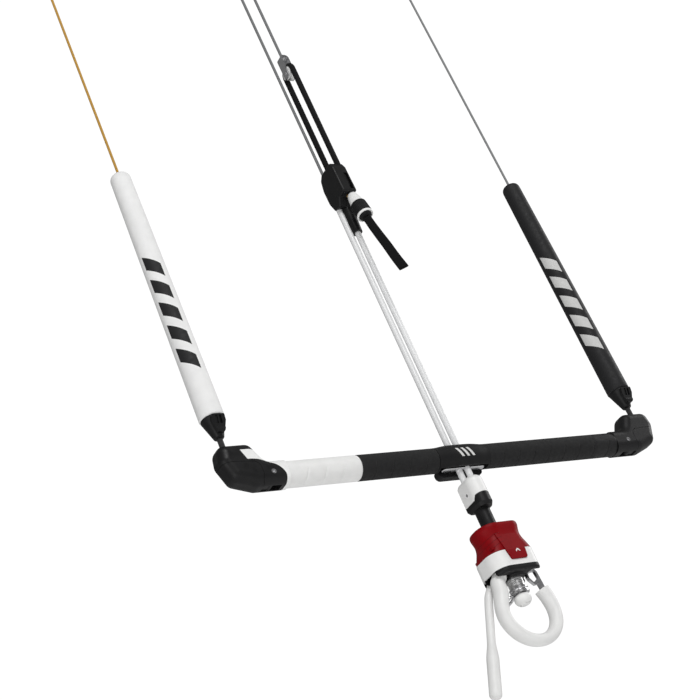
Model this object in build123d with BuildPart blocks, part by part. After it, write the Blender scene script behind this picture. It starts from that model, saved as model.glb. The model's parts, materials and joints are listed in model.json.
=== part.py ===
from build123d import *
from math import cos, radians, sin
import os

# Kite control bar: a chicken loop with its quick release, a swivel, two depower tubes,
# the bar that slides on them, two leaders with floats and the trim with its pulley.
# Millimetres. Origin: the harness hook's seat inside the loop. X along the bar,
# +Z along the lines towards the kite, -Y towards the front, where the release's lobe is.

# ---- driving dimensions ----
BAR_Z = 188.0            # bar axis above the hook's seat
LEADER_X = 245.0         # leader lines from the centre, on a 52 cm bar
GRIP_R = 12.2
CORE_R = 8.5
CORE_BORE_R = 7.0
CORE_END_X = 205.0
GRIP_END_X = 195.5
WHITE_END_X = 118.0      # inner end of the white stretch of the left grip
HUB_HALF = 30.0
TUBE_R = 3.1
TUBE_BORE_R = 1.8
TUBE_SITES = {"left": (-3.9, 1.4), "right": (3.9, -1.4)}
TUBE_BOTTOM_Z = 150.0
FLOAT_BASE_R = 12.0
FLOAT_TOP_R = 10.2
FLOAT_Z = (250.5, 537.0)
LEADER_R = 2.7
STEER_LINE_R = 1.35
CENTRE_LINE_R = 1.6
TRIM_ROPE_R = 3.2
RUNNING = 0.05           # radial clearance of a running fit
GAP = 0.3                # clearance between moving shells

# ---- heights above the seat ----
RIM_Z = (58.0, 63.0)
BLOCK_TOP_Z = 78.5
COLLAR_TOP_Z = 79.0
HANDLE_Z = (79.3, 108.8)
HANDLE_WALL = 2.4
SPRING_Z = (84.4, 102.8)
STEM_TOP_Z = 139.0
SWIVEL_Z = (130.6, 164.0)
SWIVEL_SPLIT_Z = 139.5
SWIVEL_PIN_Z = 147.5
JAW_Z = 466.0
CLEAT_Z = (500.0, 545.0)
PULLEY_Z = 685.0
STEER_TOP_Z = {"left": 800.0, "right": 860.0}
CENTRE_TOP_Z = 836.0

# ---- release footprint, a rectangle rounded most at its front left corner ----
FOOT_X = 25.5
FOOT_Y = 18.0
FOOT_CORNERS = (15.0, 10.0, 10.0)   # front left, back left, both on the right
COLLAR_WALL = 2.4
STEM_R = 7.5

# ---- hinge sites (x, z) or (x, y, z) ----
LOOP_PIVOT = (-15.8, 60.0)
LOOP_PIN_R = 1.4
LOOP_HEAD_R = 6.7
LOOP_HEAD_HALF = 8.0
FINGER_PIVOT = (-18.0, 12.2, 60.5)
PAWL_PIVOT = (17.7, 8.0, 80.0)
WINDER_PIVOT = (214.0, BAR_Z - 8.5)
LEADER_PIVOT_Z = BAR_Z + 26.0
TRIM_X = 3.5
PULLEY_Y = -10.0
PULLEY_PITCH_R = 8.6
SIDES = {"left": -1, "right": 1}

os.makedirs("parts", exist_ok=True)


def save(name, piece):
    """Label a finished piece and write it."""
    piece.part.label = name
    export_step(piece.part, f"parts/{name}.step")


def front_plane(y=0.0):
    """The plane of X and Z at one depth; its normal points to -Y."""
    return Plane(origin=(0, y, 0), x_dir=(1, 0, 0), z_dir=(0, -1, 0))


def side_plane(x=0.0):
    """The plane of Y and Z at one x; its normal points to +X."""
    return Plane(origin=(x, 0, 0), x_dir=(0, 1, 0), z_dir=(1, 0, 0))


def turned(points, centre=(0.0, 0.0)):
    """A solid turned about an upright axis, from its outline of (radius, height) points."""
    x, y = centre
    with BuildPart() as piece:
        with BuildSketch(Plane(origin=(x, y, 0), x_dir=(1, 0, 0), z_dir=(0, -1, 0))):
            with BuildLine():
                Polyline(*points, close=True)
            make_face()
        revolve(axis=Axis((x, y, 0), (0, 0, 1)))
    return piece


def footprint(half_x, half_y, corners, inset=0.0):
    """A rectangle drawn in by inset, with its own radius at each of the left corners."""
    front_left, back_left, right = (radius - inset for radius in corners)
    with BuildSketch() as outline:
        Rectangle(2 * (half_x - inset), 2 * (half_y - inset))
        fillet(outline.vertices().group_by(Axis.X)[-1], right)
        left = outline.vertices().group_by(Axis.X)[0].sort_by(Axis.Y)
        fillet(left[-1], back_left)
        left = outline.vertices().group_by(Axis.X)[0].sort_by(Axis.Y)
        fillet(left[0], front_left)
    return outline.sketch


def rod(start, end, radius, bore=0.0):
    """A straight round bar or tube from one point to another."""
    along = Vector(*end) - Vector(*start)
    with BuildPart() as piece:
        with BuildSketch(Plane(origin=start, z_dir=along)):
            Circle(radius)
            if bore:
                Circle(bore, mode=Mode.SUBTRACT)
        extrude(amount=along.length)
    return piece


# ======================= quick release =======================

LOBE_TOP_Z = 99.0
LOBE_BOTTOM_Z = 68.5
LOBE_FRONT_Y = -19.4
LOBE_BACK_Y = -15.8


def lobe_outline(grow=0.0):
    """The outline of the handle's front lobe, a shield with slanted flanks."""
    low = LOBE_BOTTOM_Z - grow
    with BuildSketch() as outline:
        with BuildLine():
            FilletPolyline(
                (-12.4 - grow, LOBE_TOP_Z), (-10.6 - grow, 80), (-8.0 - grow, low),
                (10.4 + grow, low), (11.8 + grow, 80), (12.8 + grow, LOBE_TOP_Z),
                radius=2.2, close=True,
            )
        make_face()
    return outline.sketch


with BuildPart() as release_collar:
    with BuildSketch(Plane.XY.offset(RIM_Z[1])):
        add(footprint(FOOT_X, FOOT_Y, FOOT_CORNERS))
        add(footprint(FOOT_X, FOOT_Y, FOOT_CORNERS, COLLAR_WALL), mode=Mode.SUBTRACT)
    extrude(amount=COLLAR_TOP_Z - RIM_Z[1])
    with BuildSketch(front_plane()):
        add(lobe_outline(GAP))
    extrude(amount=FOOT_Y + 4, mode=Mode.SUBTRACT)
    # relief inside the left end for the loop's leg when it swings
    with Locations((-23.3, 0, RIM_Z[1] + 1)):
        Box(1.6, 17.2, 2, mode=Mode.SUBTRACT)
save("release_collar", release_collar)

BOSS_R = 9.5
BOSS_BOTTOM_Z = 56.0
PAWL_X = PAWL_PIVOT[0]

with BuildPart() as release_base:
    with BuildSketch(Plane.XY.offset(RIM_Z[0])):
        add(footprint(FOOT_X, FOOT_Y, FOOT_CORNERS))
    extrude(amount=RIM_Z[1] - RIM_Z[0])
    fillet(release_base.edges().group_by(Axis.Z)[0], 2.2)
    with BuildSketch(Plane.XY.offset(RIM_Z[1])):
        add(footprint(FOOT_X, FOOT_Y, FOOT_CORNERS, COLLAR_WALL + RUNNING))
    extrude(amount=BLOCK_TOP_Z - RIM_Z[1])
    # recess at the right end, where the loop's link swings out under the block
    with Locations((22.3, 0, RIM_Z[1] - 5)):
        Box(19.4, 26.8, 10, mode=Mode.SUBTRACT)
    with BuildSketch(Plane.XY.offset(RIM_Z[0])):
        Circle(BOSS_R + 2)
    extrude(amount=BOSS_BOTTOM_Z - RIM_Z[0], taper=30)
    # two ears that hold the pawl's pin above the block
    with Locations((PAWL_X - 2.7, PAWL_PIVOT[1], 80), (PAWL_X + 2.7, PAWL_PIVOT[1], 80)):
        Box(1.6, 5.0, 5.6)
    # bore for the stem
    with Locations((0, 0, 70)):
        Cylinder(STEM_R, 60, mode=Mode.SUBTRACT)
    # round pocket for the loop's head, open downwards, and the notch that the leg swings through
    with BuildSketch(front_plane(LOOP_HEAD_HALF + GAP)):
        with Locations(LOOP_PIVOT):
            Circle(LOOP_HEAD_R + GAP)
        with BuildLine():
            Polyline(
                (-8.6, 61.0), (-8.6, 50), (-32, 50), (-32, RIM_Z[1]), (-24.0, RIM_Z[1]),
                (-24.0, 65.2), (-17.0, 67.4), (LOOP_PIVOT[0], 63.0), close=True,
            )
        make_face()
    extrude(amount=2 * (LOOP_HEAD_HALF + GAP), mode=Mode.SUBTRACT)
    # pocket for the finger's head
    with Locations((FINGER_PIVOT[0] - 1.7, FINGER_PIVOT[1], 60)):
        Box(12.6, 6.7, 9.2, mode=Mode.SUBTRACT)
    # slot for the loop's link, and pocket for the pawl
    with Locations((18.8, -2, 68)):
        Box(10.8, 4.0, 24, mode=Mode.SUBTRACT)
    with Locations((PAWL_X, 5, 72)):
        Box(3.8, 22, 19, mode=Mode.SUBTRACT)
    # cross holes for the three hinge pins
    with BuildSketch(front_plane(LOOP_HEAD_HALF + 0.2)):
        with Locations(LOOP_PIVOT):
            Circle(LOOP_PIN_R)
    extrude(amount=13 + LOOP_HEAD_HALF + 0.2, mode=Mode.SUBTRACT)
    with BuildSketch(front_plane(17)):
        with Locations((FINGER_PIVOT[0], FINGER_PIVOT[2])):
            Circle(1.0)
    extrude(amount=9, mode=Mode.SUBTRACT)
    with BuildSketch(side_plane(PAWL_X - 4)):
        with Locations((PAWL_PIVOT[1], PAWL_PIVOT[2])):
            Circle(1.0)
    extrude(amount=8, mode=Mode.SUBTRACT)
save("release_base", release_base)

# the pins of the loop, the finger and the pawl, pressed in the base
with BuildPart() as release_pins:
    with BuildSketch(front_plane(LOOP_HEAD_HALF + 0.2)):
        with Locations(LOOP_PIVOT):
            Circle(LOOP_PIN_R)
    extrude(amount=13 + LOOP_HEAD_HALF + 0.2)
    with BuildSketch(front_plane(17)):
        with Locations((FINGER_PIVOT[0], FINGER_PIVOT[2])):
            Circle(1.0)
    extrude(amount=8.5)
    with BuildSketch(side_plane(PAWL_X - 3.5)):
        with Locations((PAWL_PIVOT[1], PAWL_PIVOT[2])):
            Circle(1.0)
    extrude(amount=7)
save("release_pins", release_pins)

STEM_BORE_R = 3.2
STEM_FLANGE_R = 11.2
STEM_HEAD_R = 8.0
STEM_HEAD_Z = 136.0
stem = turned([
    (STEM_BORE_R, BOSS_BOTTOM_Z + 0.5), (STEM_R, BOSS_BOTTOM_Z + 0.5), (STEM_R, SPRING_Z[1]),
    (STEM_FLANGE_R, SPRING_Z[1]), (STEM_FLANGE_R, SPRING_Z[1] + 1.2), (STEM_R, SPRING_Z[1] + 1.2),
    (STEM_R, STEM_HEAD_Z), (STEM_HEAD_R, STEM_HEAD_Z), (STEM_HEAD_R, STEM_TOP_Z),
    (STEM_BORE_R, STEM_TOP_Z),
])
save("stem", stem)

# ---- leash post: grooved spool, steel swivel collar with its ring, domed knob ----
POST_R = 4.0
SPOOL_R = 7.85
SPOOL_Z = (47.6, 56.0)
KNOB_Z = (29.8, 40.6)
KNOB_R = 8.2
GROOVES = 4

with BuildPart() as leash_spool:
    with BuildSketch(Plane.XY.offset(SPOOL_Z[0])):
        Circle(SPOOL_R)
    extrude(amount=SPOOL_Z[1] - SPOOL_Z[0])
    with BuildSketch(Plane.XY.offset(KNOB_Z[1] - 4)):
        Circle(POST_R)
    extrude(amount=SPOOL_Z[0] - KNOB_Z[1] + 4)
    pitch = (SPOOL_Z[1] - SPOOL_Z[0]) / (GROOVES + 1)
    with Locations([(0, 0, SPOOL_Z[0] + pitch * (i + 1)) for i in range(GROOVES)]):
        Torus(SPOOL_R + 0.25, 0.55, mode=Mode.SUBTRACT)
save("leash_spool", leash_spool)

with BuildPart() as leash_knob:
    with BuildSketch(front_plane()):
        with BuildLine():
            Line((0, KNOB_Z[0]), (2.6, KNOB_Z[0]))
            ThreePointArc((2.6, KNOB_Z[0]), (6.6, KNOB_Z[0] + 2.2), (KNOB_R, KNOB_Z[0] + 5.6))
            ThreePointArc((KNOB_R, KNOB_Z[0] + 5.6), (7.3, KNOB_Z[1] - 1.6), (5.4, KNOB_Z[1]))
            Line((5.4, KNOB_Z[1]), (0, KNOB_Z[1]))
            Line((0, KNOB_Z[1]), (0, KNOB_Z[0]))
        make_face()
    revolve(axis=Axis.Z)
    with Locations((0, 0, KNOB_Z[1] - 2)):
        Cylinder(POST_R, 4, mode=Mode.SUBTRACT)
    # three coin slots round the underside
    with PolarLocations(4.6, 3, start_angle=-90):
        with Locations((0, 0, KNOB_Z[0] + 0.9)):
            Box(1.3, 4.2, 2.6, mode=Mode.SUBTRACT)
save("leash_knob", leash_knob)

RING_WIRE_R = 1.35
RING_AZIMUTH = 139.0
RING_DROP = 24.0         # degrees below level
RING_REACH = 8.0         # between the centres of its two round ends
RING_END_R = 6.6
RING_NEAR = 14.0         # near round end's centre from the post's axis
COLLAR_RING_Z = (41.2, 47.0)

turn, drop = radians(RING_AZIMUTH), radians(RING_DROP)
ring_out = Vector(cos(turn) * cos(drop), sin(turn) * cos(drop), -sin(drop))
ring_up = Vector(cos(turn) * sin(drop), sin(turn) * sin(drop), cos(drop))
ring_centre = Vector(0, 0, 44.8) + ring_out * (RING_NEAR + RING_REACH / 2)

with BuildPart() as leash_ring:
    with BuildSketch(Plane(origin=ring_centre, x_dir=ring_out, z_dir=ring_up)):
        SlotCenterToCenter(RING_REACH, 2 * (RING_END_R + RING_WIRE_R))
        SlotCenterToCenter(RING_REACH, 2 * (RING_END_R - RING_WIRE_R), mode=Mode.SUBTRACT)
    extrude(amount=RING_WIRE_R, both=True)
    fillet(leash_ring.edges(), RING_WIRE_R - 0.15)
    with BuildSketch(Plane.XY.offset(COLLAR_RING_Z[0])):
        Circle(9.0)
    extrude(amount=COLLAR_RING_Z[1] - COLLAR_RING_Z[0])
    with Locations((0, 0, 44)):
        Torus(9.2, 1.0, mode=Mode.SUBTRACT)
        Cylinder(POST_R + RUNNING, 30, mode=Mode.SUBTRACT)
save("leash_ring", leash_ring)

# ---- chicken loop: an oval moulded tube, thicker at its hinged leg, with a steel link ----
LOOP_R = 28.9            # centre line of the round bottom
LOOP_CENTRE_Z = 23.4
LOOP_RADIAL = 5.6        # half thickness at the seat
LOOP_DEPTH = 6.8
LINK_Y = (-3.5, -0.5)

with BuildPart() as loop_link:
    with BuildSketch(front_plane(LINK_Y[1])):
        with BuildLine():
            Polyline(
                (15.6, 72.3), (19.8, 72.3), (19.8, 62.5), (24.8, 62.5), (26.6, 59.5), (27.2, 51),
                (28.2, 38), (23.6, 36.5), (22.6, 43.5), (22.0, 47.6), (18.0, 47.0), (13.7, 52.2),
                (12.9, 55), (13.6, 62.5), (15.6, 62.5), close=True,
            )
        make_face()
        with BuildLine():
            Polyline(
                (15.4, 60.6), (23.8, 60.6), (24.8, 53.4), (18.1, 49.4), (15.2, 54.2), close=True,
            )
        make_face(mode=Mode.SUBTRACT)
        with Locations((17.7, 68.5)):
            Rectangle(2.2, 6.0, mode=Mode.SUBTRACT)
    extrude(amount=LINK_Y[1] - LINK_Y[0])
save("loop_link", loop_link)


def loop_section(x, z, lean, radial, depth):
    """One oval section of the loop; lean turns its path's direction from straight down."""
    along = (-sin(radians(lean)), 0, -cos(radians(lean)))
    with BuildSketch(Plane(origin=(x, 0, z), x_dir=(0, 1, 0), z_dir=along)) as section:
        Ellipse(depth, radial)
    return section.sketch.face()


loop_sections = [
    loop_section(*LOOP_PIVOT, 20, LOOP_HEAD_R, LOOP_HEAD_HALF - 0.1),
    loop_section(-20.6, 48.5, 20, 6.9, 7.8), loop_section(-24.8, 37.0, 19, 6.8, 7.6),
]
for step in range(7):
    angle = radians(180 + 30 * step)
    spread = 0.5 * abs(cos(angle))
    loop_sections.append(loop_section(
        LOOP_R * cos(angle), LOOP_CENTRE_Z + LOOP_R * sin(angle), -30 * step,
        LOOP_RADIAL + spread, LOOP_DEPTH + spread,
    ))
loop_sections.append(loop_section(28.0, 34.0, -190, 6.6, 7.4))
loop_sections.append(loop_section(25.6, 42.5, -196, 7.0, 7.5))

with BuildPart() as chicken_loop:
    loft(loop_sections)
    # domed head round the hinge pin
    with BuildSketch(Plane(origin=(LOOP_PIVOT[0], 0, LOOP_PIVOT[1]))):
        Ellipse(LOOP_HEAD_R, LOOP_HEAD_HALF - 0.1)
        with Locations((-LOOP_HEAD_R, 0)):
            Rectangle(2 * LOOP_HEAD_R, 4 * LOOP_HEAD_HALF, mode=Mode.SUBTRACT)
    revolve(axis=Axis((LOOP_PIVOT[0], 0, LOOP_PIVOT[1]), (0, 1, 0)))
    with BuildSketch(front_plane(LOOP_HEAD_HALF + 1)):
        with Locations(LOOP_PIVOT):
            Circle(LOOP_PIN_R + RUNNING)
    extrude(amount=2 * LOOP_HEAD_HALF + 2, mode=Mode.SUBTRACT)
    add(loop_link.part, mode=Mode.SUBTRACT)
save("chicken_loop", chicken_loop)

# ---- finger: a flexible rod that keeps the hook in the loop ----
FINGER_STATIONS = [
    # x, y, z, lean from straight down, radius
    (-19.0, 12.2, 59.0, 36, 2.6),
    (-27.0, 12.8, 45.6, 27, 3.8),
    (-36.4, 13.6, 23.0, 22, 3.9),
    (-43.4, 14.2, 5.5, 22, 4.0),
    (-49.3, 14.5, -9.5, 22, 5.7),
    (-62.0, 14.8, -41.0, 22, 5.8),
]
FINGER_HEAD_R = 2.45

with BuildPart() as finger:
    for x, y, z, lean, radius in FINGER_STATIONS:
        along = (-sin(radians(lean)), 0, -cos(radians(lean)))
        with BuildSketch(Plane(origin=(x, y, z), x_dir=(0, 1, 0), z_dir=along)):
            Circle(radius)
    loft()
    with Locations(FINGER_STATIONS[-1][:3]):
        Sphere(FINGER_STATIONS[-1][4] + 0.2)
    head_y = FINGER_PIVOT[1]
    with BuildSketch(front_plane(head_y + 3)):
        with Locations((FINGER_PIVOT[0], FINGER_PIVOT[2])):
            Circle(FINGER_HEAD_R)
    extrude(amount=6)
    with BuildSketch(front_plane(head_y + 5)):
        with Locations((FINGER_PIVOT[0], FINGER_PIVOT[2])):
            Circle(1.0 + RUNNING)
    extrude(amount=10, mode=Mode.SUBTRACT)
save("finger", finger)

# ---- latch pawl: its nose lies under the link's top bar ----
PAWL_HALF = 0.8
with BuildPart() as latch_pawl:
    with BuildSketch(side_plane(PAWL_X - PAWL_HALF)):
        with BuildLine():
            Polyline(
                (5.6, 82.6), (10.2, 82.6), (10.2, 68.6), (7.6, 68.6), (6.6, 70.5), (-4.6, 70.5),
                (-4.6, 71.4), (5.6, 71.4), close=True,
            )
        make_face()
        with Locations((PAWL_PIVOT[1], PAWL_PIVOT[2])):
            Circle(1.0 + RUNNING, mode=Mode.SUBTRACT)
    extrude(amount=2 * PAWL_HALF)
save("latch_pawl", latch_pawl)

# ---- release handle: a waisted shell with a front lobe, a cross wall under its spring ----
HANDLE_SECTIONS = [
    # height, half width in x, half width in y, corners as in FOOT_CORNERS
    (HANDLE_Z[0], 25.3, 17.8, (14.8, 9.9, 9.9)),
    (84.5, 24.0, 17.2, (15.0, 11.0, 9.9)),
    (92.0, 21.6, 16.3, (15.2, 12.5, 9.8)),
    (98.0, 21.2, 16.2, (15.3, 13.5, 9.8)),
    (104.0, 22.2, 17.2, (16.2, 14.5, 10.0)),
    (HANDLE_Z[1], 21.6, 16.8, (15.8, 14.2, 9.8)),
]
HANDLE_TOP_WALL = 3.0


def handle_section(height, half_x, half_y, corners, inset=0.0):
    """One level section of the handle, drawn in by inset for its hollow."""
    with BuildSketch(Plane.XY.offset(height)) as section:
        add(footprint(half_x, half_y, corners, inset))
    return section.sketch.face()


hollow_top = (HANDLE_Z[1] - HANDLE_TOP_WALL, 22.0, 17.0, (16.0, 14.4, 9.9))
with BuildPart() as handle_hollow:
    loft([
        handle_section(*level, inset=HANDLE_WALL)
        for level in HANDLE_SECTIONS[:-1] + [hollow_top]
    ])

with BuildPart() as handle_lobe:
    with BuildSketch(front_plane()):
        add(lobe_outline())
    extrude(amount=30)
    with BuildSketch(side_plane(-20)):
        with BuildLine():
            Polyline(
                (LOBE_BACK_Y, LOBE_BOTTOM_Z - 1), (LOBE_FRONT_Y, LOBE_BOTTOM_Z - 1),
                (LOBE_FRONT_Y, 78), (-17.9, 87), (-15.6, LOBE_TOP_Z - 1), (-14.2, LOBE_TOP_Z - 1),
                (LOBE_BACK_Y, HANDLE_Z[0]), close=True,
            )
        make_face()
    extrude(amount=40, mode=Mode.INTERSECT)

with BuildPart() as release_handle:
    loft([handle_section(*level) for level in HANDLE_SECTIONS])
    fillet(release_handle.edges().group_by(Axis.Z)[-1], 2.0)
    add(handle_hollow.part, mode=Mode.SUBTRACT)
    add(handle_lobe.part)
    # cross wall that the spring pushes down on, left open on the pawl's side
    with Locations((-5.5, 0, SPRING_Z[0] - 1.3)):
        Box(33, 30, 2.2)
    with Locations((0, 0, 95)):
        Cylinder(STEM_R + 2.4, 60, mode=Mode.SUBTRACT)
save("release_handle", release_handle)

BUSH_R = STEM_R + 2.4
handle_bush = turned([
    (STEM_R + RUNNING, 105.7), (BUSH_R, 105.7), (BUSH_R, 109.0), (BUSH_R - 0.8, 109.8),
    (STEM_R + RUNNING, 109.8),
])
save("handle_bush", handle_bush)

SPRING_TURNS = 5
SPRING_WIRE_R = 0.6
SPRING_R = STEM_R + 1.6 + SPRING_WIRE_R
spring_height = SPRING_Z[1] - SPRING_Z[0] - 2 * SPRING_WIRE_R - 0.1
spring_path = Pos(0, 0, SPRING_Z[0] + SPRING_WIRE_R + 0.05) * Helix(
    spring_height / SPRING_TURNS, spring_height, SPRING_R
)
with BuildPart() as release_spring:
    with BuildSketch(Plane(origin=spring_path @ 0, z_dir=spring_path % 0)):
        Circle(SPRING_WIRE_R)
    sweep(path=spring_path)
save("release_spring", release_spring)

# ======================= swivel and depower tubes =======================

SWIVEL_HALF = 9.5
SWIVEL_NOSE_Y = -5.0


def swivel_footprint():
    """Flat sides and back with a half-round front."""
    with Locations((0, (SWIVEL_HALF + SWIVEL_NOSE_Y) / 2)):
        Rectangle(2 * SWIVEL_HALF, SWIVEL_HALF - SWIVEL_NOSE_Y)
    with Locations((0, SWIVEL_NOSE_Y)):
        Circle(SWIVEL_HALF)


def swivel_split(above):
    """The room above or below the slanted joint line of the swivel's shells."""
    far = 190.0 if above else 100.0
    with BuildPart() as room:
        with BuildSketch(side_plane(-20)):
            with BuildLine():
                Polyline(
                    (20, 140.5), (7.5, 138), (-6.5, 138), (-9.5, 142.5), (-20, 145),
                    (-20, far), (20, far), close=True,
                )
            make_face()
        extrude(amount=40)
    return room.part


with BuildPart() as swivel_cap:
    with BuildSketch(Plane.XY.offset(SWIVEL_Z[0])):
        swivel_footprint()
    extrude(amount=SWIVEL_Z[1] - SWIVEL_Z[0])
    fillet(swivel_cap.edges().group_by(Axis.Z)[-1], 6.5)
    add(swivel_split(above=True), mode=Mode.INTERSECT)
    with Locations((0, 0, 144)):
        Box(15.4, 10.4, 12.6, mode=Mode.SUBTRACT)
    with Locations((0, 0, STEM_TOP_Z - 2)):
        Cylinder(STEM_HEAD_R + 0.1, 4.2, mode=Mode.SUBTRACT)
    with BuildSketch(Plane.XY.offset(TUBE_BOTTOM_Z)):
        with Locations(*TUBE_SITES.values()):
            Circle(TUBE_R)
    extrude(amount=20, mode=Mode.SUBTRACT)
    with BuildSketch(side_plane(-SWIVEL_HALF)):
        with Locations((0, SWIVEL_PIN_Z)):
            Circle(1.5)
    extrude(amount=2 * SWIVEL_HALF, mode=Mode.SUBTRACT)
save("swivel_cap", swivel_cap)

with BuildPart() as swivel_housing:
    with BuildSketch(Plane.XY.offset(SWIVEL_Z[0])):
        swivel_footprint()
    extrude(amount=SWIVEL_Z[1] - SWIVEL_Z[0])
    chamfer(swivel_housing.edges().group_by(Axis.Z)[0], 3.4, 1.7)
    add(swivel_split(above=False), mode=Mode.INTERSECT)
    with Locations((0, 0, 131)):
        Cylinder(STEM_R + RUNNING, 10, mode=Mode.SUBTRACT)
    with BuildSketch(Plane.XY.offset(STEM_HEAD_Z - RUNNING)):
        Circle(STEM_HEAD_R + 0.1)
    extrude(amount=20, mode=Mode.SUBTRACT)
save("swivel_housing", swivel_housing)

swivel_pin = rod((-SWIVEL_HALF, 0, SWIVEL_PIN_Z), (SWIVEL_HALF, 0, SWIVEL_PIN_Z), 1.5)
save("swivel_pin", swivel_pin)

TUBE_TOP_Z = {"left": CLEAT_Z[1] - 5, "right": JAW_Z + 16}
ROPE_BOTTOM_Z = SWIVEL_PIN_Z + 1.6
for side, (x, y) in TUBE_SITES.items():
    tube = rod((x, y, TUBE_BOTTOM_Z), (x, y, TUBE_TOP_Z[side]), TUBE_R, TUBE_BORE_R)
    save(f"tube_{side}", tube)

x, y = TUBE_SITES["left"]
safety_rope = rod((x, y, ROPE_BOTTOM_Z), (x, y, CLEAT_Z[1]), CENTRE_LINE_R)
save("safety_rope", safety_rope)
x, y = TUBE_SITES["right"]
depower_rope = rod((x, y, ROPE_BOTTOM_Z), (x, y, CLEAT_Z[0]), TUBE_BORE_R - 0.02)
save("depower_rope", depower_rope)

# ======================= bar =======================

TRUNNION_R = 10.0
TRUNNION_HALF = 8.4
PLATE_Z = (BAR_Z - 12.2, BAR_Z - 10.4)
PLATE_HALF_X = 25.0
PLATE_HALF_Y = 3.6

with BuildPart() as guide_bush:
    with BuildSketch(front_plane(TRUNNION_HALF)):
        with Locations((0, BAR_Z)):
            Circle(TRUNNION_R)
        with Locations((0, (PLATE_Z[1] + BAR_Z - 6) / 2)):
            Rectangle(20, BAR_Z - 6 - PLATE_Z[1], mode=Mode.PRIVATE)
    extrude(amount=2 * TRUNNION_HALF)
    with Locations((0, 0, (PLATE_Z[1] + BAR_Z - 8) / 2)):
        Box(16, 2 * PLATE_HALF_Y, BAR_Z - 8 - PLATE_Z[1])
    with BuildSketch(Plane.XY.offset(BAR_Z - 15)):
        with Locations(*TUBE_SITES.values()):
            Circle(TUBE_R + RUNNING)
    extrude(amount=30, mode=Mode.SUBTRACT)
save("guide_bush", guide_bush)

with BuildPart() as guide_plate:
    with BuildSketch(Plane.XY.offset(PLATE_Z[0])):
        SlotOverall(2 * PLATE_HALF_X, 2 * PLATE_HALF_Y)
    extrude(amount=PLATE_Z[1] - PLATE_Z[0])
    chamfer(guide_plate.edges().group_by(Axis.Z)[0], 0.5)
    with BuildSketch(Plane.XY.offset(PLATE_Z[0] - 1)):
        with Locations(*TUBE_SITES.values()):
            Circle(TUBE_R + RUNNING)
        # the notches stay open to the front on the right and to the back on the left
        with Locations((3.9, -4.4)):
            Rectangle(2 * (TUBE_R + RUNNING), 6)
        with Locations((-3.9, 4.4)):
            Rectangle(2 * (TUBE_R + RUNNING), 6)
    extrude(amount=5, mode=Mode.SUBTRACT)
save("guide_plate", guide_plate)

HUB_BULGE_R = 13.8
PLATE_PROUD = -0.3        # lowest hub face in front, above BAR_Z - 11
TILT = 15.0              # steering either way, degrees


def hub_shape():
    """The bulge round the tubes, with a low lip at the back."""
    with BuildPart() as bulge:
        with BuildSketch(front_plane()):
            with BuildLine():
                Line((-HUB_HALF, BAR_Z), (-HUB_HALF, BAR_Z + GRIP_R))
                Spline(
                    (-HUB_HALF, BAR_Z + GRIP_R), (-18, BAR_Z + 13.3), (0, BAR_Z + HUB_BULGE_R),
                    (18, BAR_Z + 13.3), (HUB_HALF, BAR_Z + GRIP_R),
                    tangents=[(1, 0.02), (1, -0.02)],
                )
                Line((HUB_HALF, BAR_Z + GRIP_R), (HUB_HALF, BAR_Z))
                Line((HUB_HALF, BAR_Z), (-HUB_HALF, BAR_Z))
            make_face()
        revolve(axis=Axis((0, 0, BAR_Z), (1, 0, 0)))
        # flat underneath, so that the guide plate stands proud there
        with Locations((0, -6, BAR_Z + PLATE_PROUD - 16)):
            Box(2 * HUB_HALF - 6, 24, 10, mode=Mode.SUBTRACT)
        with BuildSketch(front_plane(12.6)):
            with Locations((0, BAR_Z - 11)):
                RectangleRounded(52, 9.6, 4.5)
        extrude(amount=7.4)
    return bulge.part


def guide_room():
    """The trunnion's bore, the tubes' fanned slot and the plate's rocking room."""
    fan = 16.5 * sin(radians(TILT))
    with BuildPart() as room:
        with BuildSketch(front_plane(TRUNNION_HALF + RUNNING)):
            with Locations((0, BAR_Z)):
                Circle(TRUNNION_R + RUNNING)
        extrude(amount=2 * (TRUNNION_HALF + RUNNING))
        with BuildSketch(front_plane(4.9)):
            with BuildLine():
                Polyline(
                    (-8.0, BAR_Z), (-7.8 - fan, BAR_Z + 18), (7.8 + fan, BAR_Z + 18),
                    (8.0, BAR_Z), close=True,
                )
            make_face()
            with BuildLine():
                Polyline(
                    (0, BAR_Z - 7.0), (10.4, BAR_Z - 5.2), (27.3, BAR_Z - 2.8),
                    (28.6, BAR_Z - 4.5), (28.6, BAR_Z - 20), (-28.6, BAR_Z - 20),
                    (-28.6, BAR_Z - 4.5), (-27.3, BAR_Z - 2.8), (-10.4, BAR_Z - 5.2), close=True,
                )
            make_face()
        extrude(amount=9.8)
    return room.part


with BuildPart() as hub_body:
    add(hub_shape())
    add(guide_room(), mode=Mode.SUBTRACT)
    with BuildSketch(front_plane(30)):
        with Locations((0, BAR_Z)):
            SlotOverall(44, 22.4)
    extrude(amount=30 - TRUNNION_HALF, mode=Mode.SUBTRACT)
    # spigots inside the core tubes
    for end in SIDES.values():
        with BuildSketch(side_plane(end * (HUB_HALF - 2))):
            with Locations((0, BAR_Z)):
                Circle(CORE_BORE_R)
        extrude(amount=end * 32)
    with BuildSketch(front_plane(TRUNNION_HALF)):
        with Locations((-16, BAR_Z), (16, BAR_Z)):
            Circle(1.2)
    extrude(amount=8, mode=Mode.SUBTRACT)
save("hub_body", hub_body)

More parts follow.
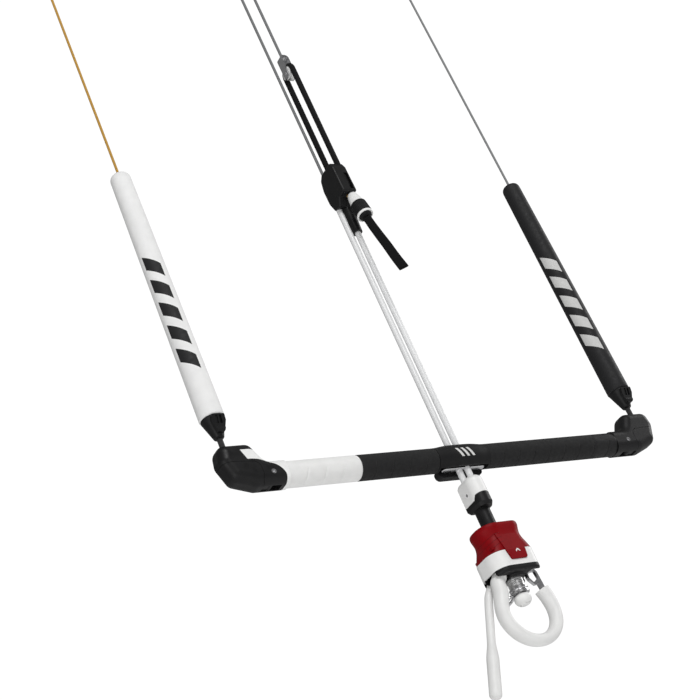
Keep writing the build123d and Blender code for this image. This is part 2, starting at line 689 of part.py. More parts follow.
with BuildPart() as hub_cover:
    add(hub_shape())
    with BuildSketch(front_plane(30)):
        with Locations((0, BAR_Z)):
            SlotOverall(44, 22.4)
    extrude(amount=30 - TRUNNION_HALF - RUNNING, mode=Mode.INTERSECT)
    with BuildSketch(front_plane(30)):
        with Locations((-16, BAR_Z), (16, BAR_Z)):
            Circle(1.2)
    extrude(amount=30, mode=Mode.SUBTRACT)
    with BuildSketch(front_plane(30)):
        with Locations((-16, BAR_Z), (16, BAR_Z)):
            Circle(2.3)
    extrude(amount=30 - 11.5, mode=Mode.SUBTRACT)
save("hub_cover", hub_cover)

with BuildPart() as core_tubes:
    for end in SIDES.values():
        with BuildSketch(side_plane(end * HUB_HALF)):
            with Locations((0, BAR_Z)):
                Circle(CORE_R)
                Circle(CORE_BORE_R, mode=Mode.SUBTRACT)
        extrude(amount=end * (CORE_END_X - HUB_HALF))
save("core_tubes", core_tubes)


def grip(start, end):
    """A foam sleeve on the core tube between two places along the bar."""
    with BuildPart() as sleeve:
        with BuildSketch(side_plane(start)):
            with Locations((0, BAR_Z)):
                Circle(GRIP_R)
                Circle(CORE_R, mode=Mode.SUBTRACT)
        extrude(amount=end - start)
    return sleeve


grip_white = grip(-GRIP_END_X, -WHITE_END_X)
save("grip_white", grip_white)
grip_left = grip(-WHITE_END_X, -HUB_HALF)
save("grip_left", grip_left)
grip_right = grip(HUB_HALF, GRIP_END_X)
save("grip_right", grip_right)

# ---- bar ends with their fold-out winding horns ----
END_HALF_Y = 11.9
END_TOP_Z = BAR_Z + 31.0
END_OUTER_X = 257.0
END_CORNER = 8.0
END_ROUNDING = 9.0
SEAM_Z = BAR_Z + 9.5
SEAM_X = 222.0
KNUCKLE_R = 3.2


def end_shape(side):
    """The whole moulded elbow, from the grip up to the leader's exit."""
    inner = side * GRIP_END_X
    with BuildPart() as elbow:
        with BuildSketch(front_plane(END_HALF_Y)):
            with BuildLine():
                FilletPolyline(
                    (side * 170, BAR_Z - GRIP_R), (side * 228, BAR_Z - GRIP_R),
                    (side * 250.5, BAR_Z - 4.5), (side * (END_OUTER_X + 1), BAR_Z + 15),
                    (side * 255.5, END_TOP_Z), (side * 224, END_TOP_Z),
                    (side * 213.5, BAR_Z + GRIP_R), (side * 170, BAR_Z + GRIP_R),
                    radius=END_CORNER, close=True,
                )
            make_face()
        extrude(amount=2 * END_HALF_Y)
        fillet(
            [edge for face in elbow.faces().filter_by(Axis.Y) for edge in face.edges()],
            END_ROUNDING,
        )
        with Locations((inner - side * 50, 0, BAR_Z)):
            Box(100, 60, 60, mode=Mode.SUBTRACT)
    return elbow.part


def flap_zone(side, grow=0.0):
    """The low outer corner that the winding horn's flap takes up."""
    x, z = WINDER_PIVOT
    with BuildPart() as zone:
        with BuildSketch(front_plane(20)):
            with BuildLine():
                FilletPolyline(
                    (side * (SEAM_X - grow), 150), (side * (SEAM_X - grow), SEAM_Z + grow),
                    (side * 280, SEAM_Z + grow + 3.5), (side * 280, 150), radius=7, close=True,
                )
            make_face()
            with Locations((side * x, z)):
                Circle(9.3 - grow, mode=Mode.SUBTRACT)
        extrude(amount=40)
    return zone


def end_cavity(side):
    """The hollow round the leader's stopper knot, closed underneath by the flap."""
    with BuildPart() as cavity:
        with BuildSketch(front_plane(8.6)):
            with BuildLine():
                FilletPolyline(
                    (side * 228.5, BAR_Z - 4), (side * 229.5, BAR_Z + 22), (side * 253.6, BAR_Z + 22),
                    (side * 253.6, BAR_Z + 12), (side * 248.5, BAR_Z + 1), (side * 238, BAR_Z - 5.5),
                    radius=2.5, close=True,
                )
            make_face()
        extrude(amount=17.2)
    return cavity


def lug(side, clear=0.0):
    """The flap's hinge lug, or with clearance the slot that it turns in."""
    x, z = WINDER_PIVOT
    half = 4.0 + clear
    with BuildPart() as piece:
        with BuildSketch(front_plane(half)):
            if clear:
                with Locations((side * x, z - 1.5)):
                    Rectangle(21, 11.4)
            else:
                with Locations((side * x, z)):
                    Circle(KNUCKLE_R)
                with Locations((side * (x + 5.5), z)):
                    Rectangle(11, 2 * KNUCKLE_R - 1.2)
        extrude(amount=2 * half)
    return piece


exits = {}
for side, end in SIDES.items():
    zone, wide_zone, cavity = flap_zone(end), flap_zone(end, GAP), end_cavity(end)
    tongue, slot = lug(end), lug(end, GAP)
    pivot_x, pivot_z = end * WINDER_PIVOT[0], WINDER_PIVOT[1]
    with BuildPart() as bar_end:
        add(end_shape(end))
        add(cavity.part, mode=Mode.SUBTRACT)
        add(wide_zone.part, mode=Mode.SUBTRACT)
        add(slot.part, mode=Mode.SUBTRACT)
        # socket for the core tube, the leader's waisted exit and the fasteners' holes
        with BuildSketch(side_plane(end * (GRIP_END_X - 1))):
            with Locations((0, BAR_Z)):
                Circle(CORE_R)
        extrude(amount=end * (CORE_END_X - GRIP_END_X + 1), mode=Mode.SUBTRACT)
        with Locations((end * LEADER_X, 0, LEADER_PIVOT_Z)):
            Cylinder(LEADER_R + 0.4, 12, mode=Mode.SUBTRACT)
        with Locations((end * LEADER_X, 0, LEADER_PIVOT_Z + 3.5)):
            Cone(LEADER_R + 0.4, LEADER_R + 2.4, 7, mode=Mode.SUBTRACT)
        with Locations((end * LEADER_X, 0, LEADER_PIVOT_Z - 3)):
            Cone(LEADER_R + 2.0, LEADER_R + 0.4, 6, mode=Mode.SUBTRACT)
        with BuildSketch(front_plane(9)):
            with Locations((pivot_x, pivot_z)):
                Circle(1.25)
        extrude(amount=18, mode=Mode.SUBTRACT)
        with BuildSketch(front_plane(-END_HALF_Y + 3)):
            with Locations((end * 211.5, BAR_Z - 1.8)):
                Circle(2.4)
        extrude(amount=8, mode=Mode.SUBTRACT)
    save(f"end_{side}", bar_end)

    with BuildPart() as winder:
        add(end_shape(end))
        add(zone.part, mode=Mode.INTERSECT)
        add(cavity.part, mode=Mode.SUBTRACT)
        add(tongue.part)
        with BuildSketch(front_plane(6)):
            with Locations((pivot_x, pivot_z)):
                Circle(1.25 + RUNNING)
        extrude(amount=12, mode=Mode.SUBTRACT)
    save(f"winder_{side}", winder)

with BuildPart() as bar_fasteners:
    for end in SIDES.values():
        with BuildSketch(front_plane(9)):
            with Locations((end * WINDER_PIVOT[0], WINDER_PIVOT[1])):
                Circle(1.25)
        extrude(amount=18)
        with BuildSketch(front_plane(-END_HALF_Y + 3)):
            with Locations((end * 211.5, BAR_Z - 1.8)):
                Circle(2.4)
                Circle(1.2, mode=Mode.SUBTRACT)
        extrude(amount=3.1)
        with BuildSketch(front_plane(-END_HALF_Y + 3)):
            with Locations((end * 211.5, BAR_Z - 1.8)):
                Circle(2.4)
        extrude(amount=1.6)
    for x in (-16, 16):
        with BuildSketch(front_plane(12.8)):
            with Locations((x, BAR_Z)):
                Circle(2.3)
                RegularPolygon(1.1, 6, mode=Mode.SUBTRACT)
        extrude(amount=12.8 - 11.5)
        with BuildSketch(front_plane(12)):
            with Locations((x, BAR_Z)):
                Circle(1.2)
        extrude(amount=11)
save("bar_fasteners", bar_fasteners)

# ======================= leaders =======================

PLUG_Z = (BAR_Z + 42.0, FLOAT_Z[0])
PLUG_INSERT_Z = FLOAT_Z[0] + 12.0
KNOT_Z = LEADER_PIVOT_Z - 10.5
LEADER_STEP_Z = FLOAT_Z[1] - 12.0


def line_end(x, y, z, radius):
    """A spliced loop on a knot at a line's end, standing on the line's last point."""
    loop_r = 6.5
    with BuildPart() as piece:
        with Locations((x, y, z + 3.2 * radius)):
            Sphere(2.6 * radius)
            Cylinder(2.2 * radius, 6.4 * radius)
        with Locations(Location((x, y, z + 5.4 * radius + loop_r), (90, 0, 0))):
            Torus(loop_r, radius)
    return piece


for side, end in SIDES.items():
    x = end * LEADER_X
    with BuildPart() as leader_rope:
        with BuildSketch(Plane(origin=(x, 0, KNOT_Z))):
            Circle(LEADER_R)
        extrude(amount=LEADER_STEP_Z - KNOT_Z)
        with BuildSketch(Plane(origin=(x, 0, LEADER_STEP_Z))):
            Circle(STEER_LINE_R)
        extrude(amount=FLOAT_Z[1] - LEADER_STEP_Z)
        with Locations((x, 0, KNOT_Z)):
            Sphere(5.2)
    save(f"leader_rope_{side}", leader_rope)

    with BuildPart() as clip:
        with BuildSketch(front_plane()):
            with BuildLine():
                FilletPolyline(
                    (x - 6.6, 249.5), (x - 7.0, 243.5), (x - 3.6, 233.2), (x + 3.6, 233.2),
                    (x + 7.0, 243.5), (x + 6.6, 249.5), radius=1.3, close=True,
                )
            make_face()
            with Locations((x - 1.9, 244.6), (x + 1.9, 244.6)):
                Rectangle(2.5, 7.6, mode=Mode.SUBTRACT)
        extrude(amount=20)
        with BuildSketch(side_plane(x - 10)):
            with BuildLine():
                Polyline(
                    (-11.9, 251), (-8.6, 251), (-4.6, 232), (-8.0, 232), (-9.8, 235.5),
                    (-8.9, 238), (-12.0, 249.8), close=True,
                )
            make_face()
        extrude(amount=20, mode=Mode.INTERSECT)
    save(f"plug_clip_{side}", clip)

    plug = turned([
        (LEADER_R + RUNNING, PLUG_Z[0]), (3.9, PLUG_Z[0]), (4.9, PLUG_Z[0] + 0.9),
        (10.9, PLUG_Z[1] - 1.0), (10.9, PLUG_Z[1]), (8.0, PLUG_Z[1]), (8.0, PLUG_INSERT_Z),
        (LEADER_R + RUNNING, PLUG_INSERT_Z),
    ], centre=(x, 0))
    with BuildPart() as float_plug:
        add(plug.part)
        add(clip.part, mode=Mode.SUBTRACT)
    save(f"float_plug_{side}", float_plug)

    float_tube = turned([
        (8.0, FLOAT_Z[0]), (FLOAT_BASE_R - 1.2, FLOAT_Z[0]), (FLOAT_BASE_R, FLOAT_Z[0] + 1.2),
        (FLOAT_TOP_R, FLOAT_Z[1] - 3.5), (FLOAT_TOP_R - 1.0, FLOAT_Z[1] - 1.0),
        (FLOAT_TOP_R - 3.2, FLOAT_Z[1]), (STEER_LINE_R + RUNNING, FLOAT_Z[1]),
        (STEER_LINE_R + RUNNING, LEADER_STEP_Z), (LEADER_R + RUNNING, LEADER_STEP_Z),
        (LEADER_R + RUNNING, PLUG_INSERT_Z), (8.0, PLUG_INSERT_Z),
    ], centre=(x, 0))
    save(f"float_{side}", float_tube)

    line = rod((x, 0, FLOAT_Z[1]), (x, 0, STEER_TOP_Z[side]), STEER_LINE_R)
    save(f"steering_line_{side}", line)
    save(f"steering_loop_{side}", line_end(x, 0, STEER_TOP_Z[side], STEER_LINE_R))

# ======================= trim =======================

RUN_Y = {"front": PULLEY_Y - PULLEY_PITCH_R, "back": PULLEY_Y + PULLEY_PITCH_R}
HOUSING_HALF_X = 9.0
TOGGLE_TOP = (TRIM_X, -17.9, 504.0)
TOGGLE_AXIS = (0.0, -0.179, -0.9838)
JAW_R = 6.4

x_jaw, y_jaw = TUBE_SITES["right"]
toggle_plane = Plane(origin=TOGGLE_TOP, x_dir=(1, 0, 0), z_dir=TOGGLE_AXIS)


def along_toggle(distance):
    """The point this far down the toggle's axis from the top of its cone."""
    return tuple(p + a * distance for p, a in zip(TOGGLE_TOP, TOGGLE_AXIS))


with BuildPart() as trim_housing:
    with BuildSketch(side_plane(-HOUSING_HALF_X)):
        with BuildLine():
            FilletPolyline(
                (-23.6, 505), (-22.8, 538), (-20.0, CLEAT_Z[1]), (-1, CLEAT_Z[1]), (4.5, 540),
                (7.2, 528), (6.8, 510), (3.2, 499), (-7.5, 496), (-13, 505), radius=2.0, close=True,
            )
        make_face()
    extrude(amount=2 * HOUSING_HALF_X)
    fillet(trim_housing.faces().filter_by(Axis.X).edges(), 2.4)
    with BuildSketch(Plane(origin=(x_jaw, y_jaw, JAW_Z))):
        Circle(JAW_R - 1)
    with BuildSketch(Plane(origin=(x_jaw, y_jaw, CLEAT_Z[0] + 4))):
        Circle(JAW_R + 0.6)
    loft()
    # channels of the two tubes, the ropes and the tail, and the cleat's mouth in front
    with BuildSketch(Plane.XY.offset(JAW_Z - 1)):
        with Locations((x_jaw, y_jaw)):
            Circle(TUBE_R)
    extrude(amount=17, mode=Mode.SUBTRACT)
    with BuildSketch(Plane.XY.offset(JAW_Z)):
        with Locations((x_jaw, y_jaw)):
            Circle(TUBE_BORE_R)
    extrude(amount=CLEAT_Z[0] - JAW_Z, mode=Mode.SUBTRACT)
    with BuildSketch(Plane.XY.offset(JAW_Z)):
        with Locations(TUBE_SITES["left"]):
            Circle(TUBE_R)
    extrude(amount=TUBE_TOP_Z["left"] - JAW_Z, mode=Mode.SUBTRACT)
    with BuildSketch(Plane.XY.offset(JAW_Z)):
        with Locations(TUBE_SITES["left"]):
            Circle(CENTRE_LINE_R)
    extrude(amount=120, mode=Mode.SUBTRACT)
    with BuildSketch(Plane.XY.offset(512)):
        with Locations((TRIM_X, RUN_Y["back"]), (TRIM_X, RUN_Y["front"])):
            Circle(TRIM_ROPE_R)
    extrude(amount=60, mode=Mode.SUBTRACT)
    with BuildSketch(toggle_plane.offset(-14)):
        Circle(TRIM_ROPE_R + 0.2)
    extrude(amount=30, mode=Mode.SUBTRACT)
    with Locations((TRIM_X + 0.5, -12.0, 519)):
        Box(8.6, 9.0, 16, mode=Mode.SUBTRACT)
    with Locations((TRIM_X + 0.5, -20.5, 519)):
        Box(4.4, 10, 22, mode=Mode.SUBTRACT)
    with BuildSketch(toggle_plane.offset(-4)):
        Circle(TRIM_ROPE_R + 1.6)
    extrude(amount=3, mode=Mode.SUBTRACT)
save("trim_housing", trim_housing)

with BuildPart() as trim_cleat:
    with Locations((TRIM_X + 0.5, -12.0, 519)):
        Box(8.6, 9.0, 16)
    with BuildSketch(Plane.XY.offset(505)):
        with BuildLine():
            Polyline((TRIM_X - 2.0, -17), (TRIM_X + 3.0, -17), (TRIM_X + 1.2, -9.4),
                     (TRIM_X - 0.2, -9.4), close=True)
        make_face()
    extrude(amount=30, mode=Mode.SUBTRACT)
    with BuildSketch(Plane.XY.offset(505)):
        with Locations((TRIM_X, RUN_Y["front"])):
            Circle(TRIM_ROPE_R)
    extrude(amount=30, mode=Mode.SUBTRACT)
    with BuildSketch(toggle_plane.offset(-16)):
        Circle(TRIM_ROPE_R + 0.2)
    extrude(amount=30, mode=Mode.SUBTRACT)
save("trim_cleat", trim_cleat)

with BuildPart() as trim_eyelet:
    with BuildSketch(toggle_plane.offset(-4)):
        Circle(TRIM_ROPE_R + 1.6)
        Circle(TRIM_ROPE_R + 0.2, mode=Mode.SUBTRACT)
    extrude(amount=3)
save("trim_eyelet", trim_eyelet)

x, y = TUBE_SITES["left"]
safety_line = rod((x, y, CLEAT_Z[1]), (x, y, CENTRE_TOP_Z), CENTRE_LINE_R)
save("safety_line", safety_line)
save("safety_line_loop", line_end(x, y, CENTRE_TOP_Z, CENTRE_LINE_R))

# the rope up from the jaw, over the pulley and down to the cleat
ROPE_TURN_Z = PULLEY_Z
with BuildPart() as trim_rope:
    for y in RUN_Y.values():
        with BuildSketch(Plane(origin=(TRIM_X, y, 512))):
            Circle(TRIM_ROPE_R)
        extrude(amount=ROPE_TURN_Z - 512)
    with BuildSketch(Plane(origin=(TRIM_X, RUN_Y["back"], ROPE_TURN_Z))):
        Circle(TRIM_ROPE_R)
    revolve(axis=Axis((TRIM_X, PULLEY_Y, ROPE_TURN_Z), (1, 0, 0)), revolution_arc=180)
save("trim_rope", trim_rope)

# ======================= pulley block and front line =======================

SHEAVE_HALF = 3.4
GROOVE_R = 5.4
FLANGE_R = 8.4
STRAP_T = 1.6
STRAP_HALF_Y = 4.5
STRAP_INNER = 3.6
AXLE_R = 2.0
STRAP_TOP_Z = 709.5

with BuildPart() as pulley_wheel:
    with BuildSketch(Plane(origin=(0, PULLEY_Y, PULLEY_Z), x_dir=(1, 0, 0), z_dir=(0, -1, 0))):
        with BuildLine():
            Polyline(
                (TRIM_X - SHEAVE_HALF, AXLE_R + RUNNING), (TRIM_X + SHEAVE_HALF, AXLE_R + RUNNING),
                (TRIM_X + SHEAVE_HALF, FLANGE_R), (TRIM_X + SHEAVE_HALF - 0.6, FLANGE_R),
                (TRIM_X + 1.9, GROOVE_R - 0.3), (TRIM_X, GROOVE_R - 1.4), (TRIM_X - 1.9, GROOVE_R - 0.3),
                (TRIM_X - SHEAVE_HALF + 0.6, FLANGE_R), (TRIM_X - SHEAVE_HALF, FLANGE_R), close=True,
            )
        make_face()
    revolve(axis=Axis((TRIM_X, PULLEY_Y, PULLEY_Z), (1, 0, 0)))
    with BuildPart(mode=Mode.PRIVATE) as rope_room:
        with BuildSketch(Plane(origin=(TRIM_X, RUN_Y["back"], PULLEY_Z))):
            Circle(TRIM_ROPE_R + GAP)
        revolve(axis=Axis((TRIM_X, PULLEY_Y, PULLEY_Z), (1, 0, 0)))
    add(rope_room.part, mode=Mode.SUBTRACT)
save("pulley_wheel", pulley_wheel)

with BuildPart() as pulley_strap:
    with BuildSketch(Plane(origin=(0, PULLEY_Y - STRAP_HALF_Y, 0), x_dir=(1, 0, 0), z_dir=(0, -1, 0))):
        with BuildLine():
            FilletPolyline(
                (TRIM_X - STRAP_INNER - STRAP_T, PULLEY_Z - 6.5),
                (TRIM_X - STRAP_INNER - STRAP_T, STRAP_TOP_Z),
                (TRIM_X + STRAP_INNER + STRAP_T, STRAP_TOP_Z),
                (TRIM_X + STRAP_INNER + STRAP_T, PULLEY_Z - 6.5), radius=4.4,
            )
            FilletPolyline(
                (TRIM_X + STRAP_INNER, PULLEY_Z - 6.5), (TRIM_X + STRAP_INNER, STRAP_TOP_Z - STRAP_T),
                (TRIM_X - STRAP_INNER, STRAP_TOP_Z - STRAP_T), (TRIM_X - STRAP_INNER, PULLEY_Z - 6.5),
                radius=3.2,
            )
            Line((TRIM_X + STRAP_INNER + STRAP_T, PULLEY_Z - 6.5), (TRIM_X + STRAP_INNER, PULLEY_Z - 6.5))
            Line((TRIM_X - STRAP_INNER, PULLEY_Z - 6.5), (TRIM_X - STRAP_INNER - STRAP_T, PULLEY_Z - 6.5))
        make_face()
    extrude(amount=-2 * STRAP_HALF_Y)
    with BuildSketch(side_plane(TRIM_X - 10)):
        with Locations((PULLEY_Y, PULLEY_Z)):
            Circle(AXLE_R)
    extrude(amount=20, mode=Mode.SUBTRACT)
save("pulley_strap", pulley_strap)

pulley_axle = rod((TRIM_X - 6.0, PULLEY_Y, PULLEY_Z), (TRIM_X + 6.0, PULLEY_Y, PULLEY_Z), AXLE_R)
save("pulley_axle", pulley_axle)

front_line = rod((TRIM_X, PULLEY_Y, STRAP_TOP_Z), (TRIM_X, PULLEY_Y, CENTRE_TOP_Z), CENTRE_LINE_R)
save("front_line", front_line)
save("front_line_loop", line_end(TRIM_X, PULLEY_Y, CENTRE_TOP_Z, CENTRE_LINE_R))

# ======================= toggle on the trim's tail =======================

CONE_LENGTH = 40.0
CONE_R = (4.0, 8.2)
BAND_LENGTH = 4.4
STRAP_POINTS = [(-26.2, 456.0), (-33.5, 424.0), (-37.6, 404.0), (-42.0, 387.0)]


def toggle_section(distance, radius):
    """A round section across the toggle's axis."""
    with BuildSketch(toggle_plane.offset(distance)) as section:
        Circle(radius)
    return section.sketch.face()


with BuildPart() as toggle_cone:
    loft([toggle_section(6, CONE_R[0]), toggle_section(CONE_LENGTH - BAND_LENGTH, CONE_R[1])])
    with BuildSketch(toggle_plane.offset(0)):
        Circle(TRIM_ROPE_R)
    extrude(amount=6.5)
save("toggle_cone", toggle_cone)

with BuildPart() as toggle_band:
    loft([
        toggle_section(CONE_LENGTH - BAND_LENGTH, CONE_R[1] + 0.3),
        toggle_section(CONE_LENGTH, CONE_R[1] + 0.7),
    ])
save("toggle_band", toggle_band)

with BuildPart() as toggle_strap:
    with BuildSketch(side_plane(TRIM_X - 4.2)):
        with BuildLine():
            Polyline(
                along_toggle(CONE_LENGTH)[1:], (-29.2, 456), (-37.0, 424), (-41.5, 404),
                (-46.6, 388), (-37.2, 385), (-33.2, 404), (-29.6, 424), (-22.4, 456), close=True,
            )
        make_face()
    extrude(amount=8.4)
save("toggle_strap", toggle_strap)

print("leader and floats radius", FLOAT_BASE_R, "leader rope radius", LEADER_R)
print("steering line radius", STEER_LINE_R, "centre line radius", CENTRE_LINE_R)
print("trim rope radius", TRIM_ROPE_R)
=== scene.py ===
"""Kite control bar: materials, cords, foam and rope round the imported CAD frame."""
import json
from math import cos, degrees, exp, pi, radians, sin, sqrt

import bpy
from mathutils import Matrix, Vector

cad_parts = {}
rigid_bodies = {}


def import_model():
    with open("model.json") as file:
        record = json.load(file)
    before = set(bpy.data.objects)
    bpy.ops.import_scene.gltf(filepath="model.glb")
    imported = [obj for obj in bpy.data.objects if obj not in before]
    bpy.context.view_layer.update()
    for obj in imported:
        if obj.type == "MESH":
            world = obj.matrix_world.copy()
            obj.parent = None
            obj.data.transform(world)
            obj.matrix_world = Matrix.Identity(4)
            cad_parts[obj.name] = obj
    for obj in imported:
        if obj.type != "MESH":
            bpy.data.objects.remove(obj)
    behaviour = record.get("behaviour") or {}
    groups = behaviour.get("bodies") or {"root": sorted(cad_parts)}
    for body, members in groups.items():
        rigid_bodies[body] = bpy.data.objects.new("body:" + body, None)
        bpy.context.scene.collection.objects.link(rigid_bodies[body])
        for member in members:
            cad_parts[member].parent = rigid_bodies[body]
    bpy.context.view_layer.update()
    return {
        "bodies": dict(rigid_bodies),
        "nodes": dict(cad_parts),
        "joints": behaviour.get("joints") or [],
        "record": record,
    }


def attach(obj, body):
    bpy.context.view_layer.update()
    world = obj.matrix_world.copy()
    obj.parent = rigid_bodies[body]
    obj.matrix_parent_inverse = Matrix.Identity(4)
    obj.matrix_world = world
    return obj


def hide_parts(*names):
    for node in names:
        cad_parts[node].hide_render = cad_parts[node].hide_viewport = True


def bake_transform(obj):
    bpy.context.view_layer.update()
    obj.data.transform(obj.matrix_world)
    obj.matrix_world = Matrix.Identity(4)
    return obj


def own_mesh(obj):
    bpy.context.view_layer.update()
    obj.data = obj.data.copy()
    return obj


MM = 0.001
AMBIENT = 0.22
BACKDROP = 1.05        # the background that the camera sees
FLOOR_Z, FLOOR_REACH, FLOOR_GLOW = -1.05, 40.0, 0.25

# ======================= camera, lights and floor =======================


def aim(obj, right, up):
    """Turn a camera or light so that its own X and Y follow the given directions."""
    x, y = Vector(right).normalized(), Vector(up).normalized()
    z = x.cross(y)
    obj.rotation_mode = "QUATERNION"
    obj.rotation_quaternion = Matrix((x, y, z)).transposed().to_quaternion()


def aim_at(obj, target):
    """Point a light at a place."""
    away = obj.location - Vector(target)
    obj.rotation_mode = "QUATERNION"
    obj.rotation_quaternion = away.to_track_quat("Z", "Y")


def make_camera():
    """The photograph's viewing angle, from below and left of the bar."""
    data = bpy.data.cameras.new("camera")
    data.lens = 83.0
    data.sensor_width = 36.0
    data.clip_start = 0.05
    data.clip_end = 60.0
    camera = bpy.data.objects.new("camera", data)
    bpy.context.scene.collection.objects.link(camera)
    camera.location = (-0.9419, -1.0593, -0.42135)
    aim(camera, (0.82768, -0.43428, -0.35545), (0.03503, -0.59216, 0.80506))
    bpy.context.scene.camera = camera
    return camera


def area_light(name, place, target, size, power, tint=(1.0, 1.0, 1.0)):
    """A square soft light."""
    data = bpy.data.lights.new(name, "AREA")
    data.shape = "SQUARE"
    data.size = size
    data.energy = power
    data.color = tint
    lamp = bpy.data.objects.new(name, data)
    bpy.context.scene.collection.objects.link(lamp)
    lamp.location = place
    aim_at(lamp, target)
    return lamp


def make_stage():
    """A pale floor under the object and a white world round it."""
    def plain(name, color, glow):
        mat = bpy.data.materials.new(name)
        mat.use_nodes = True
        shader = mat.node_tree.nodes["Principled BSDF"]
        shader.inputs["Base Color"].default_value = (*color, 1)
        shader.inputs["Roughness"].default_value = 0.9
        shader.inputs["Emission Color"].default_value = (1, 1, 1, 1)
        shader.inputs["Emission Strength"].default_value = glow
        return mat

    def sheet(name, corners, mat):
        mesh = bpy.data.meshes.new(name)
        mesh.from_pydata(corners, [], [tuple(range(len(corners)))])
        mesh.materials.append(mat)
        obj = bpy.data.objects.new(name, mesh)
        bpy.context.scene.collection.objects.link(obj)

    pale = plain("stage_floor", (0.86, 0.86, 0.86), FLOOR_GLOW)
    corners = ((-1, -1), (1, -1), (1, 1), (-1, 1))
    sheet("floor", [(x * FLOOR_REACH, y * FLOOR_REACH, FLOOR_Z) for x, y in corners], pale)
    world = bpy.data.worlds.new("studio")
    world.use_nodes = True
    tree = world.node_tree
    sky = tree.nodes["Background"]
    sky.inputs["Color"].default_value = (1.0, 1.0, 1.0, 1)
    seen = tree.nodes.new("ShaderNodeLightPath").outputs["Is Camera Ray"]
    strength = tree.nodes.new("ShaderNodeMapRange")
    strength.inputs["To Min"].default_value = AMBIENT
    strength.inputs["To Max"].default_value = BACKDROP
    tree.links.new(seen, strength.inputs["Value"])
    tree.links.new(strength.outputs[0], sky.inputs["Strength"])
    bpy.context.scene.world = world
    bpy.context.scene.view_settings.view_transform = "Standard"


# ======================= materials =======================


class Paint:
    """A Principled material and short ways to build its node network."""

    def __init__(self, name, color, roughness, metallic=0.0, **sockets):
        self.mat = bpy.data.materials.new(name)
        self.mat.use_nodes = True
        self.tree = self.mat.node_tree
        self.shader = self.tree.nodes["Principled BSDF"]
        self.color = color
        self.set("Base Color", (*color, 1))
        self.set("Roughness", roughness)
        self.set("Metallic", metallic)
        for socket, value in sockets.items():
            self.set(socket.replace("_", " "), value)
        self.place = self.node("ShaderNodeTexCoord").outputs["Object"]
        self.heights = []

    def set(self, socket, value):
        self.shader.inputs[socket].default_value = value

    def node(self, kind, **settings):
        made = self.tree.nodes.new(kind)
        for key, value in settings.items():
            setattr(made, key, value)
        return made

    def link(self, start, end):
        self.tree.links.new(start, end)

    def feed(self, socket, value):
        """A number or another node's output goes into a socket."""
        if isinstance(value, (int, float)):
            socket.default_value = value
        else:
            self.link(value, socket)

    def math(self, operation, first, second=0.0, third=None):
        made = self.node("ShaderNodeMath", operation=operation)
        self.feed(made.inputs[0], first)
        self.feed(made.inputs[1], second)
        if third is not None:
            self.feed(made.inputs[2], third)
        return made.outputs[0]

    def split(self, vector=None):
        made = self.node("ShaderNodeSeparateXYZ")
        self.link(vector or self.place, made.inputs[0])
        return made.outputs

    def stretched(self, scale):
        made = self.node("ShaderNodeMapping")
        self.link(self.place, made.inputs["Vector"])
        made.inputs["Scale"].default_value = scale
        return made.outputs[0]

    def noise(self, scale, detail=3.0, rough=0.5, vector=None):
        made = self.node("ShaderNodeTexNoise")
        self.link(vector or self.place, made.inputs["Vector"])
        made.inputs["Scale"].default_value = scale
        made.inputs["Detail"].default_value = detail
        made.inputs["Roughness"].default_value = rough
        return made.outputs[0]

    def in_mm(self):
        """The object's own X, Y and Z in millimetres."""
        return [self.math("MULTIPLY", part, 1000.0) for part in self.split()]

    def over(self, value, limit):
        return self.math("GREATER_THAN", value, limit)

    def under(self, value, limit):
        return self.math("LESS_THAN", value, limit)

    def near(self, value, centre, half):
        """One within half of the centre, nothing elsewhere."""
        return self.under(self.math("ABSOLUTE", self.math("SUBTRACT", value, centre)), half)

    def every(self, *masks):
        """One where all the masks are one."""
        whole = masks[0]
        for mask in masks[1:]:
            whole = self.math("MULTIPLY", whole, mask)
        return whole

    def cells(self, scale):
        made = self.node("ShaderNodeTexVoronoi")
        self.link(self.place, made.inputs["Vector"])
        made.inputs["Scale"].default_value = scale
        return made.outputs["Distance"]

    def ranged(self, value, low, high, out_low=0.0, out_high=1.0):
        made = self.node("ShaderNodeMapRange")
        self.link(value, made.inputs["Value"])
        for socket, number in zip(
            ("From Min", "From Max", "To Min", "To Max"), (low, high, out_low, out_high)
        ):
            made.inputs[socket].default_value = number
        return made.outputs[0]

    def mix(self, factor, first, second):
        made = self.node("ShaderNodeMix", data_type="RGBA")
        self.feed(made.inputs[0], factor)
        for socket, value in ((made.inputs[6], first), (made.inputs[7], second)):
            if isinstance(value, tuple):
                socket.default_value = (*value, 1)
            else:
                self.link(value, socket)
        return made.outputs[2]

    def tones(self, scale, spread):
        """The base colour, a little lighter and darker from place to place."""
        dark = tuple(c * (1 - spread) for c in self.color)
        light = tuple(min(1.0, c * (1 + spread)) for c in self.color)
        return self.mix(self.ranged(self.noise(scale), 0.3, 0.7), dark, light)

    def paint(self, value):
        self.link(value, self.shader.inputs["Base Color"])

    def gloss(self, value, low, high):
        """Roughness follows a pattern between two values."""
        self.link(self.ranged(value, 0.3, 0.7, low, high), self.shader.inputs["Roughness"])

    def relief(self, height, depth, strength=0.6):
        """Bump of a real depth, in metres; several add up."""
        bump = self.node("ShaderNodeBump")
        bump.inputs["Strength"].default_value = strength
        bump.inputs["Distance"].default_value = depth
        self.link(height, bump.inputs["Height"])
        if self.heights:
            self.link(self.heights[-1], bump.inputs["Normal"])
        self.heights.append(bump.outputs[0])
        self.link(bump.outputs[0], self.shader.inputs["Normal"])


